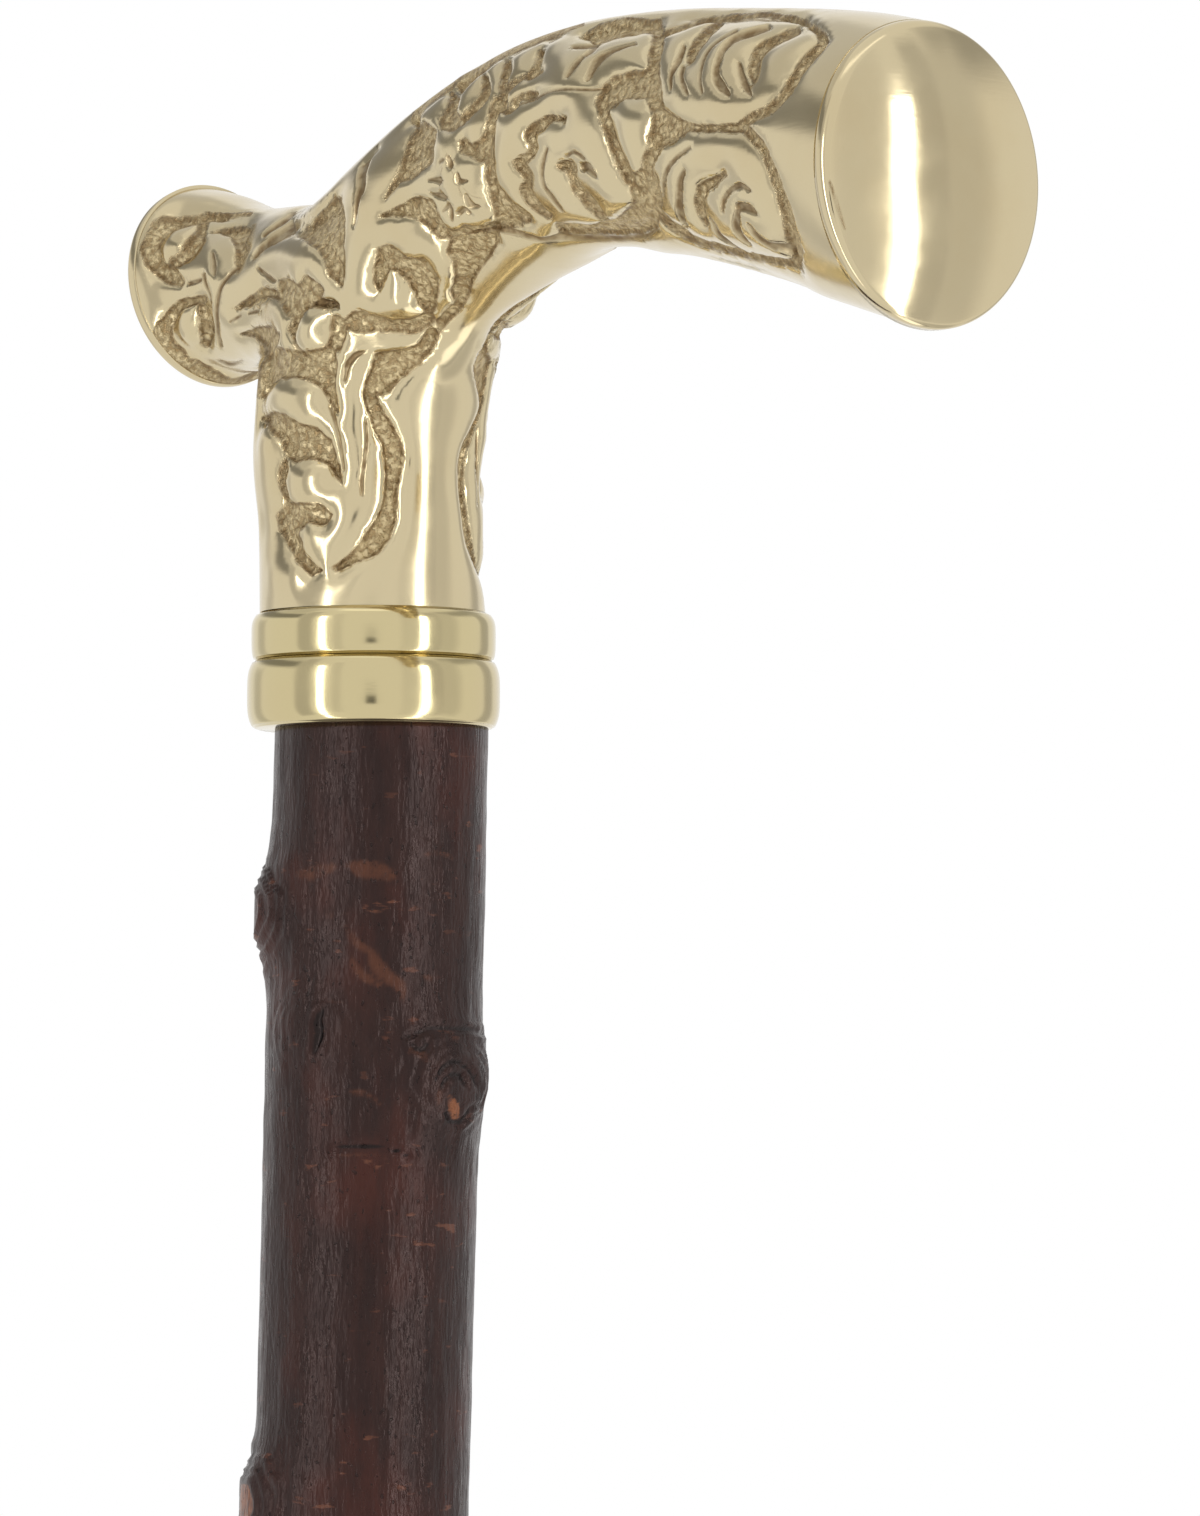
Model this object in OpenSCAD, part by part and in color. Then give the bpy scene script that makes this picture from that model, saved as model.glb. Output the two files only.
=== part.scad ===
// Blackthorn walking stick with a cast brass handle.
// Millimetres. The origin is the centre of the rubber tip's ground face, +Z runs up the
// stick along the axis of the neck, and +X points the way that the nose of the handle points.

/* [Handle] */
// Reach of the nose rim from the neck axis
nose_reach = 97.4; // [86:0.2:108]
// Height of the bar's crown line above the foot of the neck
crown_rise = 47.7; // [43:0.1:55]
// Reach of the tail rim from the neck axis
tail_reach = 32.3; // [29:0.1:38]
// Drop of the tail rim below the crown line
tail_drop = 9.8; // [8:0.1:13]
// Diameter of the neck
neck_d = 24.3; // [23:0.1:26]
// Thickness of the elbow, where the neck turns into the bar
elbow_h = 26.5; // [25:0.1:29]
// Width of the elbow
elbow_w = 25.7; // [24:0.1:28]
// Thickness of the bar at its crown
crown_h = 24.3; // [22.5:0.1:27]
// Width of the bar at its crown
crown_w = 24; // [22:0.1:27]
// Height of the nose rim
nose_h = 32; // [29:0.1:36]
// Width of the nose rim
nose_w = 28.2; // [25:0.1:32]
// Thickness of the tail where it leaves the elbow
tail_root_h = 23.4; // [21:0.1:25]
// Width of the tail where it leaves the elbow
tail_root_w = 23; // [21:0.1:25]
// Thickness of the tail at its waist
tail_waist_h = 18.3; // [17:0.1:20.5]
// Width of the tail at its waist
tail_waist_w = 19.4; // [18:0.1:22]
// Height of the tail rim
tail_rim_h = 23.1; // [21:0.1:26]
// Width of the tail rim
tail_rim_w = 21.9; // [20:0.1:25]
// Wall of the hollow casting
casting_wall = 2.8; // [2:0.1:3.5]
// Height of the solid foot of the neck, which holds the stud
neck_foot_h = 20; // [17:0.5:23]

/* [End caps] */
// How far the nose cap's dome stands out of its rim
nose_dome = 2.7; // [1.5:0.1:5]
// How far the tail cap's dome stands out of its rim
tail_dome = 2; // [1.2:0.1:4]
// Depth of the plug that centres a cap in the casting
cap_plug = 3; // [2:0.1:4.5]

/* [Rings] */
// Widest diameter of the neck ring
neck_ring_d = 26.3; // [25.8:0.1:29]
// Diameter of the neck ring at its lower edge
neck_ring_edge_d = 25.7; // [24:0.1:25.8]
// Diameter of the neck ring at its upper edge
neck_ring_top_d = 24.6; // [24:0.1:25.8]
// Height of the neck ring
neck_ring_h = 5.2; // [4:0.1:8]
// Widest diameter of the shaft collar
collar_d = 27.2; // [26.6:0.1:31]
// Diameter of the shaft collar at its edges
collar_edge_d = 25.8; // [24.5:0.1:26.4]
// Height of the shaft collar
collar_h = 7.3; // [6:0.1:12]

/* [Joint] */
// Diameter of the spigots that carry the two rings
spigot_d = 18; // [15:0.5:19]
// Diameter of the joining stud
stud_d = 8; // [6:0.5:9]
// Length of the stud in the handle
stud_in_handle = 22; // [18:0.5:24]
// Length of the stud in the shaft
stud_in_shaft = 44; // [35:1:70]
// Glue gap round the spigots, the stud, the plugs and the shaft's seat
fit_gap = 0.1; // [0.05:0.05:0.2]

/* [Shaft] */
// Length of the shaft from its foot to the underside of the collar
shaft_len = 832; // [700:2:900]
// Diameter of the shaft under the collar
shaft_top_d = 23; // [22:0.1:24]
// Diameter of the shaft above the tip
shaft_foot_d = 20.2; // [20:0.1:22]
// How far the shaft wanders off its axis
crook = 2.9; // [0:0.1:4.5]
// How far a cut thorn stub stands proud of the bark
thorn_h = 1.7; // [0.5:0.1:2.7]
// Length of a cut thorn stub's swelling along the shaft
thorn_len = 9; // [7:0.5:13]

/* [Rubber tip] */
// Diameter of the shaft's seat in the tip
tip_seat_d = 19; // [16:0.5:19.5]
// Depth of the tip's socket
tip_socket = 30; // [24:0.5:40]
// Rubber under the washer
tip_floor = 8.5; // [6:0.1:12]
// Diameter of the tip's foot
tip_foot_d = 33; // [30:0.5:40]
// Height of the foot's upright band
tip_foot_h = 7; // [5:0.5:10]
// Height of the flare above the foot
tip_flare_h = 9; // [6:0.5:12]
// Diameter of the tip's barrel
tip_barrel_d = 25.4; // [24:0.1:28]
// Diameter of the bead round the tip's mouth
tip_bead_d = 27.4; // [26.5:0.1:30]
// Thickness of the steel washer
washer_t = 1.5; // [1:0.1:2.5]
// Hole in the steel washer
washer_hole_d = 6; // [4:0.5:9]

/* [Hidden] */
$fn = 96;

// Colours as the object shows them
brass = "#c9b583";
bark = "#3a2622";
steel = "#a9abae";
rubber = "#1d1d1f";

// One overrun for every cut, and the overlap that joins the solids of one piece
overrun = 1;
bond = 6;

// Facets of the lofts
bar_sides = 36;
bar_rings = 37;
tail_rings = 13;
cavity_sides = 20;
cavity_rings = 19;
dome_rings = 6;
shaft_sides = 20;
shaft_rings = 150;
barrel_steps = 10;

// Levels along the stick
wood_foot_z = tip_floor + washer_t;
shoulder_z = wood_foot_z + shaft_len;
joint_z = shoulder_z + collar_h;
neck_z = joint_z + neck_ring_h;
seat_top_z = wood_foot_z + tip_socket - washer_t;

// Handle lofts: each row is x, height, tilt of the section and its place among the key sections.
// Bar: x is a share of nose_reach, height a share of crown_rise, keys run neck, elbow, crown, nose.
bar_shares = [
  [-0.002, 0.000,  0, 0.00], [-0.003, 0.190,  0, 0.10], [-0.006, 0.390,  6, 0.60],
  [ 0.038, 0.681, 38, 1.00], [ 0.167, 0.860, 60, 1.95], [ 0.352, 0.977, 77, 2.00],
  [ 0.531, 0.980, 90, 2.15], [ 0.728, 0.924, 96, 2.43], [ 0.895, 0.846, 93, 2.80],
  [ 1.000, 0.800, 87, 3.00]];
bar_heights = [neck_d, elbow_h, crown_h, nose_h];
bar_widths = [neck_d, elbow_w, crown_w, nose_w];
// Tail: x is a share of tail_reach, height a share of the tail rim's, keys run root, waist, rim.
tail_shares = [
  [ 0.180, 0.936,  -90, 0.00], [-0.280, 0.926,  -90, 0.70], [-0.600, 0.962,  -92, 1.00],
  [-0.833, 0.995,  -96, 1.50], [-1.000, 1.000, -100, 2.00]];
tail_heights = [tail_root_h, tail_waist_h, tail_rim_h];
tail_widths = [tail_root_w, tail_waist_w, tail_rim_w];
// Where the tail's cavity starts, as a share of its rows
tail_cavity_share = 0.16;
// Rim left round a mouth of the casting, as a share of its wall
lip_share = 0.65;
// Shape of the domes and barrels: how flat their middles are
dome_power = 2;
barrel_power = 4;

// Cut thorn stubs: place below the collar as a share of the shaft's length, heading, height share
top_thorn_shares = [
  [0.0238, 234, 0.95], [0.0391, 293, 0.35], [0.0454, 15, 1.00], [0.0996, 249, 0.95]];
thorn_count = 19;
thorn_first_share = 0.148;
thorn_last_share = 0.95;
thorn_stray_share = 0.011;
thorn_turn = 137.5;
thorn_spread = 24;
// Mean height share of the lower stubs, and how far it swings from stub to stub
thorn_mean_share = 0.75;
thorn_swing_share = 0.35;
// Fall of a stub's swelling, as a share of its length
thorn_fall_share = 0.4;
// Course of the shaft: waves in its length, heading of the crook, side sway as a share of it
crook_waves_share = 1.29;
crook_start = 160;
crook_heading = 54;
sway_share = 0.55;
sway_waves_share = 1;
settle_share = 0.16;
// How late the taper sets in
taper_power = 1.5;

// Tread and ribs of the rubber tip
tread_groove = 1.6;
tread_shares = [0.42, 0.7];
tip_rib_count = 3;
tip_rib_groove = 0.9;
tip_bead_h = 4;
tip_edge = 1.2;
stud_chamfer = 0.8;

function mix(a, b, t) = a + (b - a) * t;
function clamp(v, low, high) = max(low, min(high, v));
function smooth(t) = let (s = clamp(t, 0, 1)) s * s * (3 - 2 * s);
// Value at place g along a list of key sizes
function key_size(keys, g) =
  let (c = clamp(g, 0, len(keys) - 1), i = min(floor(c), len(keys) - 2))
  mix(keys[i], keys[i + 1], c - i);
// Row at place t of a table, on a smooth curve through its rows
function row_at(rows, t) =
  let (last = len(rows) - 1, i = clamp(floor(t), 0, last - 1), s = t - i,
       b = rows[i], c = rows[i + 1],
       a = i > 0 ? rows[i - 1] : 2 * b - c,
       d = i < last - 1 ? rows[i + 2] : 2 * c - b)
  b + (c - a) * s / 2 + (2 * a - 5 * b + 4 * c - d) * s * s / 2 + (3 * b - a - 3 * c + d) * s * s * s / 2;
// Table of real sizes: x, height, tilt, half thickness, half width
function sized(shares, reach, rise, heights, widths) =
  [for (s = shares)
    [s[0] * reach, s[1] * rise, s[2], key_size(heights, s[3]) / 2, key_size(widths, s[3]) / 2]];
// One oval ring of points: drawn in by less, and moved ahead along its own axis
function oval(row, sides, less = 0, ahead = 0) =
  let (a = row[2], axis = [sin(a), 0, cos(a)], up = [-cos(a), 0, sin(a)],
       h = row[3] - less, w = row[4] - less)
  [for (j = [0 : sides - 1]) let (q = 360 * (j + 0.5) / sides)
    [row[0], 0, row[1]] + axis * ahead + up * h * cos(q) + [0, w * sin(q), 0]];
function rings_along(rows, from, to, count, sides, less = 0) =
  [for (i = [0 : count - 1]) oval(row_at(rows, mix(from, to, i / (count - 1))), sides, less)];

bar_rows = sized(bar_shares, nose_reach, crown_rise, bar_heights, bar_widths);
tail_rows = sized(tail_shares, tail_reach, crown_rise - tail_drop, tail_heights, tail_widths);
bar_end = len(bar_rows) - 1;
tail_end = len(tail_rows) - 1;
nose_row = bar_rows[bar_end];
tail_row = tail_rows[tail_end];
// Row of the bar at which its line has climbed past the solid foot
foot_rows = [for (t = [0 : 0.05 : bar_end]) if (row_at(bar_rows, t)[1] > neck_foot_h) t];
bar_cavity_from = foot_rows[0];
tail_cavity_from = tail_cavity_share * tail_end;

// Mean of a ring's points
function middle(points) = [for (p = points) 1] * points / len(points);
// Closed skin over rings of points that run along the piece, with a fan over each end
module skin(rings) {
  sides = len(rings[0]);
  last = len(rings) - 1;
  count = len(rings) * sides;
  polyhedron(
    points = concat([for (r = rings) for (p = r) p], [middle(rings[0]), middle(rings[last])]),
    faces = concat(
      [for (j = [0 : sides - 1]) [count, (j + 1) % sides, j]],
      [for (j = [0 : sides - 1]) [count + 1, last * sides + j, last * sides + (j + 1) % sides]],
      [for (i = [0 : last - 1]) for (j = [0 : sides - 1]) for (half = [0, 1])
        let (a = i * sides + j, b = i * sides + (j + 1) % sides)
        half == 0 ? [a, b, a + sides] : [b, b + sides, a + sides]]));
}

// Hollow brass casting: bar and neck in one sweep, and the tail behind it, open at nose and tail
module handle_casting() {
  spigot_len = neck_ring_h;
  color(brass) translate([0, 0, neck_z]) difference() {
    union() {
      skin(rings_along(bar_rows, 0, bar_end, bar_rings, bar_sides));
      skin(rings_along(tail_rows, 0, tail_end, tail_rings, bar_sides));
      translate([0, 0, -spigot_len]) cylinder(d = spigot_d, h = spigot_len + bond);
    }
    skin(rings_along(bar_rows, bar_cavity_from, bar_end, cavity_rings, cavity_sides, casting_wall));
    skin(rings_along(tail_rows, tail_cavity_from, tail_end, cavity_rings, cavity_sides, casting_wall));
    mouth(nose_row);
    mouth(tail_row);
    translate([0, 0, -spigot_len - overrun])
      cylinder(d = stud_d + 2 * fit_gap, h = spigot_len + overrun + neck_foot_h + bond);
  }
}

// Straight oval mouth that takes a cap's plug
module mouth(row) {
  less = casting_wall * lip_share;
  skin([oval(row, bar_sides, less, -cap_plug - fit_gap), oval(row, bar_sides, less, overrun)]);
}

// Domed oval plate with a plug behind it that fits the mouth of the casting
module end_cap(row, dome) {
  plug_less = casting_wall * lip_share + fit_gap;
  color(brass) translate([0, 0, neck_z]) skin(concat(
    [oval(row, bar_sides, plug_less, -cap_plug), oval(row, bar_sides, plug_less, 0)],
    [for (i = [0 : dome_rings - 1])
      let (s = i / dome_rings, lift = 1 - pow(1 - s, dome_power))
      oval([row[0], row[1], row[2], row[3] * (1 - s), row[4] * (1 - s)], bar_sides, 0, dome * lift)]));
}

module nose_cap() { end_cap(nose_row, nose_dome); }

module tail_cap() { end_cap(tail_row, tail_dome); }

// Barrel-shaped turned ring on a spigot
module turned_ring(d, edge_d, top_d, h) {
  color(brass) rotate_extrude() polygon(concat(
    [[spigot_d / 2 + fit_gap, h], [spigot_d / 2 + fit_gap, 0]],
    [for (i = [0 : barrel_steps]) let (s = 2 * i / barrel_steps - 1)
      [mix(s < 0 ? edge_d : top_d, d, 1 - pow(abs(s), barrel_power)) / 2, h * (s + 1) / 2]]));
}

module neck_ring() {
  translate([0, 0, joint_z]) turned_ring(neck_ring_d, neck_ring_edge_d, neck_ring_top_d, neck_ring_h);
}

module shaft_collar() {
  translate([0, 0, shoulder_z]) turned_ring(collar_d, collar_edge_d, collar_edge_d, collar_h);
}

// Steel stud that ties the handle to the shaft
module joining_stud() {
  r = stud_d / 2;
  low = -stud_in_shaft;
  high = stud_in_handle;
  color(steel) translate([0, 0, joint_z]) rotate_extrude() polygon([
    [0, low], [r - stud_chamfer, low], [r, low + stud_chamfer],
    [r, high - stud_chamfer], [r - stud_chamfer, high], [0, high]]);
}

// Every thorn stub: height up the stick, heading and height share
thorns = concat(
  [for (s = top_thorn_shares) [shoulder_z - s[0] * shaft_len, s[1], s[2]]],
  [for (i = [0 : thorn_count - 1])
    [shoulder_z - shaft_len * (mix(thorn_first_share, thorn_last_share, i / (thorn_count - 1))
       + thorn_stray_share * sin(i * thorn_turn * 2)),
     i * thorn_turn, thorn_mean_share + thorn_swing_share * sin(i * thorn_turn)]]);
function turn_between(a, b) = abs(((a - b) % 360 + 540) % 360 - 180);
function bump(v, width) = exp(-v * v / (2 * width * width));
function swelling(z, heading) = thorn_h * max([for (t = thorns) abs(t[0] - z) > 2 * thorn_len ? 0 :
  t[2] * bump(t[0] - z, thorn_len * thorn_fall_share) * bump(turn_between(t[1], heading), thorn_spread)]);
// Middle of the shaft at a height: it wanders in two directions and comes true at the foot
function shaft_middle(z) =
  let (s = (shoulder_z - z) / shaft_len, fade = smooth((1 - s) / settle_share),
       along = crook * sin(crook_start + 360 * crook_waves_share * s) * fade,
       across = crook * sway_share * sin(360 * sway_waves_share * s) * fade)
  [along * cos(crook_heading) - across * sin(crook_heading),
   along * sin(crook_heading) + across * cos(crook_heading), z];
function shaft_radius(z) =
  mix(shaft_top_d, shaft_foot_d, pow((shoulder_z - z) / (shoulder_z - seat_top_z), taper_power)) / 2;
function shaft_ring(z) = [for (j = [0 : shaft_sides - 1]) let (q = -360 * (j + 0.5) / shaft_sides)
  shaft_middle(z) + (shaft_radius(z) + swelling(z, q)) * [cos(q), sin(q), 0]];

// Bark-on blackthorn, turned true where the collar and the tip seat on it
module shaft() {
  color(bark) difference() {
    union() {
      skin([for (i = [0 : shaft_rings - 1]) shaft_ring(mix(seat_top_z, shoulder_z, i / (shaft_rings - 1)))]);
      translate([0, 0, wood_foot_z]) cylinder(d = tip_seat_d, h = seat_top_z - wood_foot_z + bond);
      translate([0, 0, shoulder_z - bond]) cylinder(d = spigot_d, h = collar_h + bond);
    }
    translate([0, 0, joint_z - stud_in_shaft]) cylinder(d = stud_d + 2 * fit_gap, h = stud_in_shaft + overrun);
  }
}

// Steel disc at the bottom of the socket, which keeps the wood from punching through
module tip_washer() {
  color(steel) translate([0, 0, tip_floor]) difference() {
    cylinder(d = tip_seat_d, h = washer_t);
    translate([0, 0, -overrun]) cylinder(d = washer_hole_d, h = washer_t + 2 * overrun);
  }
}

// Push-on rubber tip with a flared foot, ribs round its barrel and a ringed tread
module rubber_tip() {
  foot_r = tip_foot_d / 2;
  barrel_r = tip_barrel_d / 2;
  bead_r = tip_bead_d / 2;
  top = tip_floor + tip_socket;
  rib_from = tip_foot_h + tip_flare_h;
  rib_pitch = (top - tip_bead_h - rib_from) / (tip_rib_count + 1);
  color(rubber) difference() {
    rotate_extrude() polygon([
      [0, 0], [foot_r - tip_edge, 0], [foot_r, tip_edge], [foot_r, tip_foot_h],
      [barrel_r, rib_from], [barrel_r, top - tip_bead_h], [bead_r, top - tip_bead_h + tip_edge],
      [bead_r, top - tip_edge], [bead_r - tip_edge, top], [0, top]]);
    translate([0, 0, tip_floor]) cylinder(d = tip_seat_d + 2 * fit_gap, h = tip_socket + overrun);
    for (s = tread_shares) rotate_extrude() translate([s * foot_r, -overrun])
      square([tread_groove, overrun + tread_groove]);
    for (i = [1 : tip_rib_count]) translate([0, 0, rib_from + i * rib_pitch]) rotate_extrude()
      translate([barrel_r, 0]) circle(r = tip_rib_groove);
  }
}

handle_casting();
nose_cap();
tail_cap();
neck_ring();
shaft_collar();
joining_stud();
shaft();
tip_washer();
rubber_tip();
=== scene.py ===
import math
import bmesh
import bpy
import numpy as np
from mathutils import Matrix, Vector


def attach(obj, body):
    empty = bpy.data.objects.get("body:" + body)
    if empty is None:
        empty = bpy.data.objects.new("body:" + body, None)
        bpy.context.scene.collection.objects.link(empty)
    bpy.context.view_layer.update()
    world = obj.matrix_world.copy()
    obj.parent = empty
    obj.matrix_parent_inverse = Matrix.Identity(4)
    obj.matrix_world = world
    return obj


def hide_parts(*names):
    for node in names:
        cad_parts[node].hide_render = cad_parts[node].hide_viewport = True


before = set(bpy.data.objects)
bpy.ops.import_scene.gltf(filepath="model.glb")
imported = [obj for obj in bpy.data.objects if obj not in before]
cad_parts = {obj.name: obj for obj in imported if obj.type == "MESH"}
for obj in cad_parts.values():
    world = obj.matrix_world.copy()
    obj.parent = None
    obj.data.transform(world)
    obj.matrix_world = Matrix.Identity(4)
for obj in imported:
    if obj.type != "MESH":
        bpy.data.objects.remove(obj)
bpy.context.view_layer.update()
scene = bpy.context.scene
scene.view_settings.view_transform = "Standard"
print("frame loaded:", sorted(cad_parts))

mm = 0.001
# heights in millimetres: foot of the wood, top of the tip, underside of the collar, joint between the rings
# and foot of the neck
levels = {"woodFoot": 10.0, "tipTop": 38.5, "shoulder": 842.0, "joint": 849.3, "neck": 854.5}

# the photograph's view: the picture is 1200 by 1516 units, with perMm of them to a millimetre at the neck
view = {"azimuth": 54.0, "elevation": -3.4, "distance": 1080.0, "perMm": 9.3,
        "collarAt": (373.5, 729.0), "picture": (1200.0, 1516.0), "sensor": 36.0, "clip": (0.05, 50.0)}


# camera place with its right, up and ahead directions, from two angles and the collar's place in the picture
def cameraAxes():
    az, el = math.radians(view["azimuth"]), math.radians(view["elevation"])
    ahead = np.array([-math.sin(az) * math.cos(el), math.cos(az) * math.cos(el), -math.sin(el)])
    right = np.array([math.cos(az), math.sin(az), 0.0])
    up = np.cross(right, ahead)
    wide, high = view["picture"]
    dx = (wide / 2 - view["collarAt"][0]) / view["perMm"]
    dy = (view["collarAt"][1] - high / 2) / view["perMm"]
    aim = np.array([0, 0, levels["shoulder"]]) + right * dx + up * dy
    return aim - ahead * view["distance"], right, up, ahead


eye, eyeRight, eyeUp, eyeAhead = cameraAxes()


def pictureOf(points):  # place in the picture: focal length times offset over depth, x right and y down
    rel = points - eye
    depth = rel @ eyeAhead
    focal = view["perMm"] * view["distance"]
    wide, high = view["picture"]
    x = wide / 2 + focal * (rel @ eyeRight) / depth
    y = high / 2 - focal * (rel @ eyeUp) / depth
    return np.stack([x, y], -1)


def makeCamera():
    data = bpy.data.cameras.new("photoView")
    data.sensor_width = view["sensor"]
    data.lens = view["sensor"] * view["perMm"] * view["distance"] / view["picture"][1]
    data.clip_start, data.clip_end = view["clip"]
    cam = bpy.data.objects.new("photoView", data)
    turn = Matrix([list(r) for r in np.stack([eyeRight, eyeUp, -eyeAhead], 1)]).to_4x4()
    cam.matrix_world = Matrix.Translation(Vector(eye * mm)) @ turn
    scene.collection.objects.link(cam)
    scene.camera = cam


makeCamera()


# Shared helpers: smooth curves through rows, distances to drawn strokes, and meshes from grids of points

def rowsAt(rows, t):  # Catmull-Rom curve through the rows, at places t counted in rows
    rows = np.asarray(rows, float)
    ends = np.vstack([2 * rows[0] - rows[1], rows, 2 * rows[-1] - rows[-2]])
    i = np.clip(np.floor(t).astype(int), 0, len(rows) - 2)
    s = (t - i)[:, None]
    a, b, c, d = ends[i], ends[i + 1], ends[i + 2], ends[i + 3]
    return b + (c - a) * s / 2 + (2 * a - 5 * b + 4 * c - d) * s**2 / 2 + (3 * b - a - 3 * c + d) * s**3 / 2


def smoothStep(low, high, v):  # 0 at low, 1 at high, level at both ends
    s = np.clip((v - low) / (high - low), 0, 1)
    return s * s * (3 - 2 * s)


def lineDistance(p, a, b):  # distance from points to the line from a to b, and the share of it passed
    along = b - a
    t = np.clip(((p - a) @ along) / max(along @ along, 1e-9), 0, 1)
    return np.linalg.norm(p - a - t[:, None] * along, axis=1), t


farGap = 30.0  # stands for out of reach


def strokeGap(p, stroke):  # distance to a smooth stroke less its half width there
    stroke = np.asarray(stroke, float)
    fine = rowsAt(stroke, np.linspace(0, len(stroke) - 1, 4 * len(stroke) - 3))
    gap = np.full(len(p), farGap)
    near = np.flatnonzero(((p > fine[:, :2].min(0) - farGap) & (p < fine[:, :2].max(0) + farGap)).all(1))
    for a, b in zip(fine[:-1], fine[1:]):
        d, t = lineDistance(p[near], a[:2], b[:2])
        gap[near] = np.minimum(gap[near], d - (a[2] + (b[2] - a[2]) * t))
    return gap


def nearestGap(p, strokes):  # the least of the gaps to several strokes
    return np.minimum.reduce([strokeGap(p, stroke) for stroke in strokes])


def patchGap(p, corners):  # signed distance to a closed outline, below zero inside it
    corners = np.asarray(corners, float)
    gap = np.full(len(p), farGap)
    near = np.flatnonzero(((p > corners.min(0) - farGap) & (p < corners.max(0) + farGap)).all(1))
    inside = np.zeros(len(near), bool)
    q = p[near]
    for a, b in zip(corners, np.roll(corners, -1, 0)):
        gap[near] = np.minimum(gap[near], lineDistance(q, a, b)[0])
        crosses = (a[1] > q[:, 1]) != (b[1] > q[:, 1])
        inside ^= crosses & (q[:, 0] < a[0] + (b[0] - a[0]) * (q[:, 1] - a[1]) / (b[1] - a[1] + 1e-12))
    gap[near] = np.where(inside, -gap[near], gap[near])
    return gap


noiseHash = {"turns": np.array([127.1, 311.7, 74.7]), "size": 43758.5453}


def latticeNoise(p):  # smooth noise from 0 to 1: hashed values at whole-number corners, blended between them
    cell = np.floor(p)
    f = p - cell
    f = f * f * (3 - 2 * f)
    total = np.zeros(len(p))
    for corner in np.ndindex(2, 2, 2):
        c = cell + corner
        value = np.sin(c @ noiseHash["turns"]) * noiseHash["size"]
        share = np.prod(np.where(np.array(corner) == 1, f, 1 - f), axis=1)
        total += (value - np.floor(value)) * share
    return total


def gridFaces(rows, cols):  # quads between neighbouring rows of a grid that closes round its columns
    i, j = np.meshgrid(np.arange(rows - 1), np.arange(cols), indexing="ij")
    k = (j + 1) % cols
    return np.stack([i * cols + j, i * cols + k, (i + 1) * cols + k, (i + 1) * cols + j], -1).reshape(-1, 4)


# rings from first to last with a fan over each end; it faces outward when the rings turn about their way
def closedTube(grid):
    rows, cols = grid.shape[:2]
    points = np.vstack([grid.reshape(-1, 3), grid[0].mean(0), grid[-1].mean(0)])
    j = np.arange(cols)
    k = (j + 1) % cols
    low = np.stack([np.full(cols, rows * cols), k, j], 1)
    high = np.stack([np.full(cols, rows * cols + 1), (rows - 1) * cols + j, (rows - 1) * cols + k], 1)
    return points, gridFaces(rows, cols).tolist() + low.tolist() + high.tolist()


def revolved(outline, turns):  # a closed outline of (radius, height) turned round the stick's axis
    outline = np.asarray(outline, float)
    a = np.linspace(0, 2 * np.pi, turns, endpoint=False)
    ring = np.stack([np.cos(a), np.sin(a)], 1)
    flat = outline[:, None, :1] * ring
    points = np.concatenate([flat, np.broadcast_to(outline[:, None, 1:], flat[..., :1].shape)], 2)
    return points.reshape(-1, 3), (gridFaces(len(outline) + 1, turns) % (len(outline) * turns)).tolist()


def rounded(rows, steps):  # a closed outline of (x, y, reach) with each corner replaced by a small curve
    most = 0.45  # share of a side that a curve may take
    rows = np.asarray(rows, float)
    corners = rows[:, :2]
    before, after = np.roll(corners, 1, 0), np.roll(corners, -1, 0)
    t = np.linspace(0, 1, steps + 1)[:, None]
    out = []
    for c, b, a, r in zip(corners, before, after, rows[:, 2]):
        sideB, sideA = np.linalg.norm(b - c), np.linalg.norm(a - c)
        toB, toA = (b - c) / sideB, (a - c) / sideA
        reach = min(r, most * sideB, most * sideA)
        out.append((1 - t)**2 * (c + toB * reach) + 2 * t * (1 - t) * c + t**2 * (c + toA * reach))
    return np.vstack(out)


def dressPiece(name, mesh, material, node, attributes=None):  # object in place of a CAD node
    for key, values in (attributes or {}).items():
        mesh.attributes.new(key, "FLOAT", "POINT").data.foreach_set("value", np.asarray(values, np.float32))
    mesh.update()
    mesh.materials.append(material)
    obj = bpy.data.objects.new(name, mesh)
    scene.collection.objects.link(obj)
    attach(obj, "root")
    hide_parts(node)
    print(name, "has", len(mesh.vertices), "points and", len(mesh.polygons), "faces")


def meshOf(name, points, faces):  # points in millimetres; every face smooth
    mesh = bpy.data.meshes.new(name)
    mesh.from_pydata((np.asarray(points) * mm).tolist(), [], faces)
    mesh.polygons.foreach_set("use_smooth", np.ones(len(mesh.polygons), bool))
    return mesh


def sharpen(mesh, degrees):  # mark edges that turn by more than this as sharp
    mesh.set_sharp_from_angle(angle=math.radians(degrees))


# Materials

def newMaterial(name):
    mat = bpy.data.materials.new(name)
    mat.use_nodes = True
    return mat, mat.node_tree, mat.node_tree.nodes["Principled BSDF"]


def addNode(tree, kind, **values):  # a node with its sockets and settings given by name
    node = tree.nodes.new(kind)
    for key, value in values.items():
        if key in node.inputs:
            node.inputs[key].default_value = value
        else:
            setattr(node, key, value)
    return node


def plug(tree, socket, value):  # a link, a colour or a number into a socket
    if isinstance(value, bpy.types.NodeSocket):
        tree.links.new(value, socket)
    elif isinstance(value, tuple):
        socket.default_value = (*value, 1) if len(value) == 3 and len(socket.default_value) == 4 else value
    else:
        socket.default_value = value


def maths(tree, operation, first, second):
    node = addNode(tree, "ShaderNodeMath", operation=operation)
    plug(tree, node.inputs[0], first)
    plug(tree, node.inputs[1], second)
    return node.outputs[0]


def times(tree, first, second):
    return maths(tree, "MULTIPLY", first, second)


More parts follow.
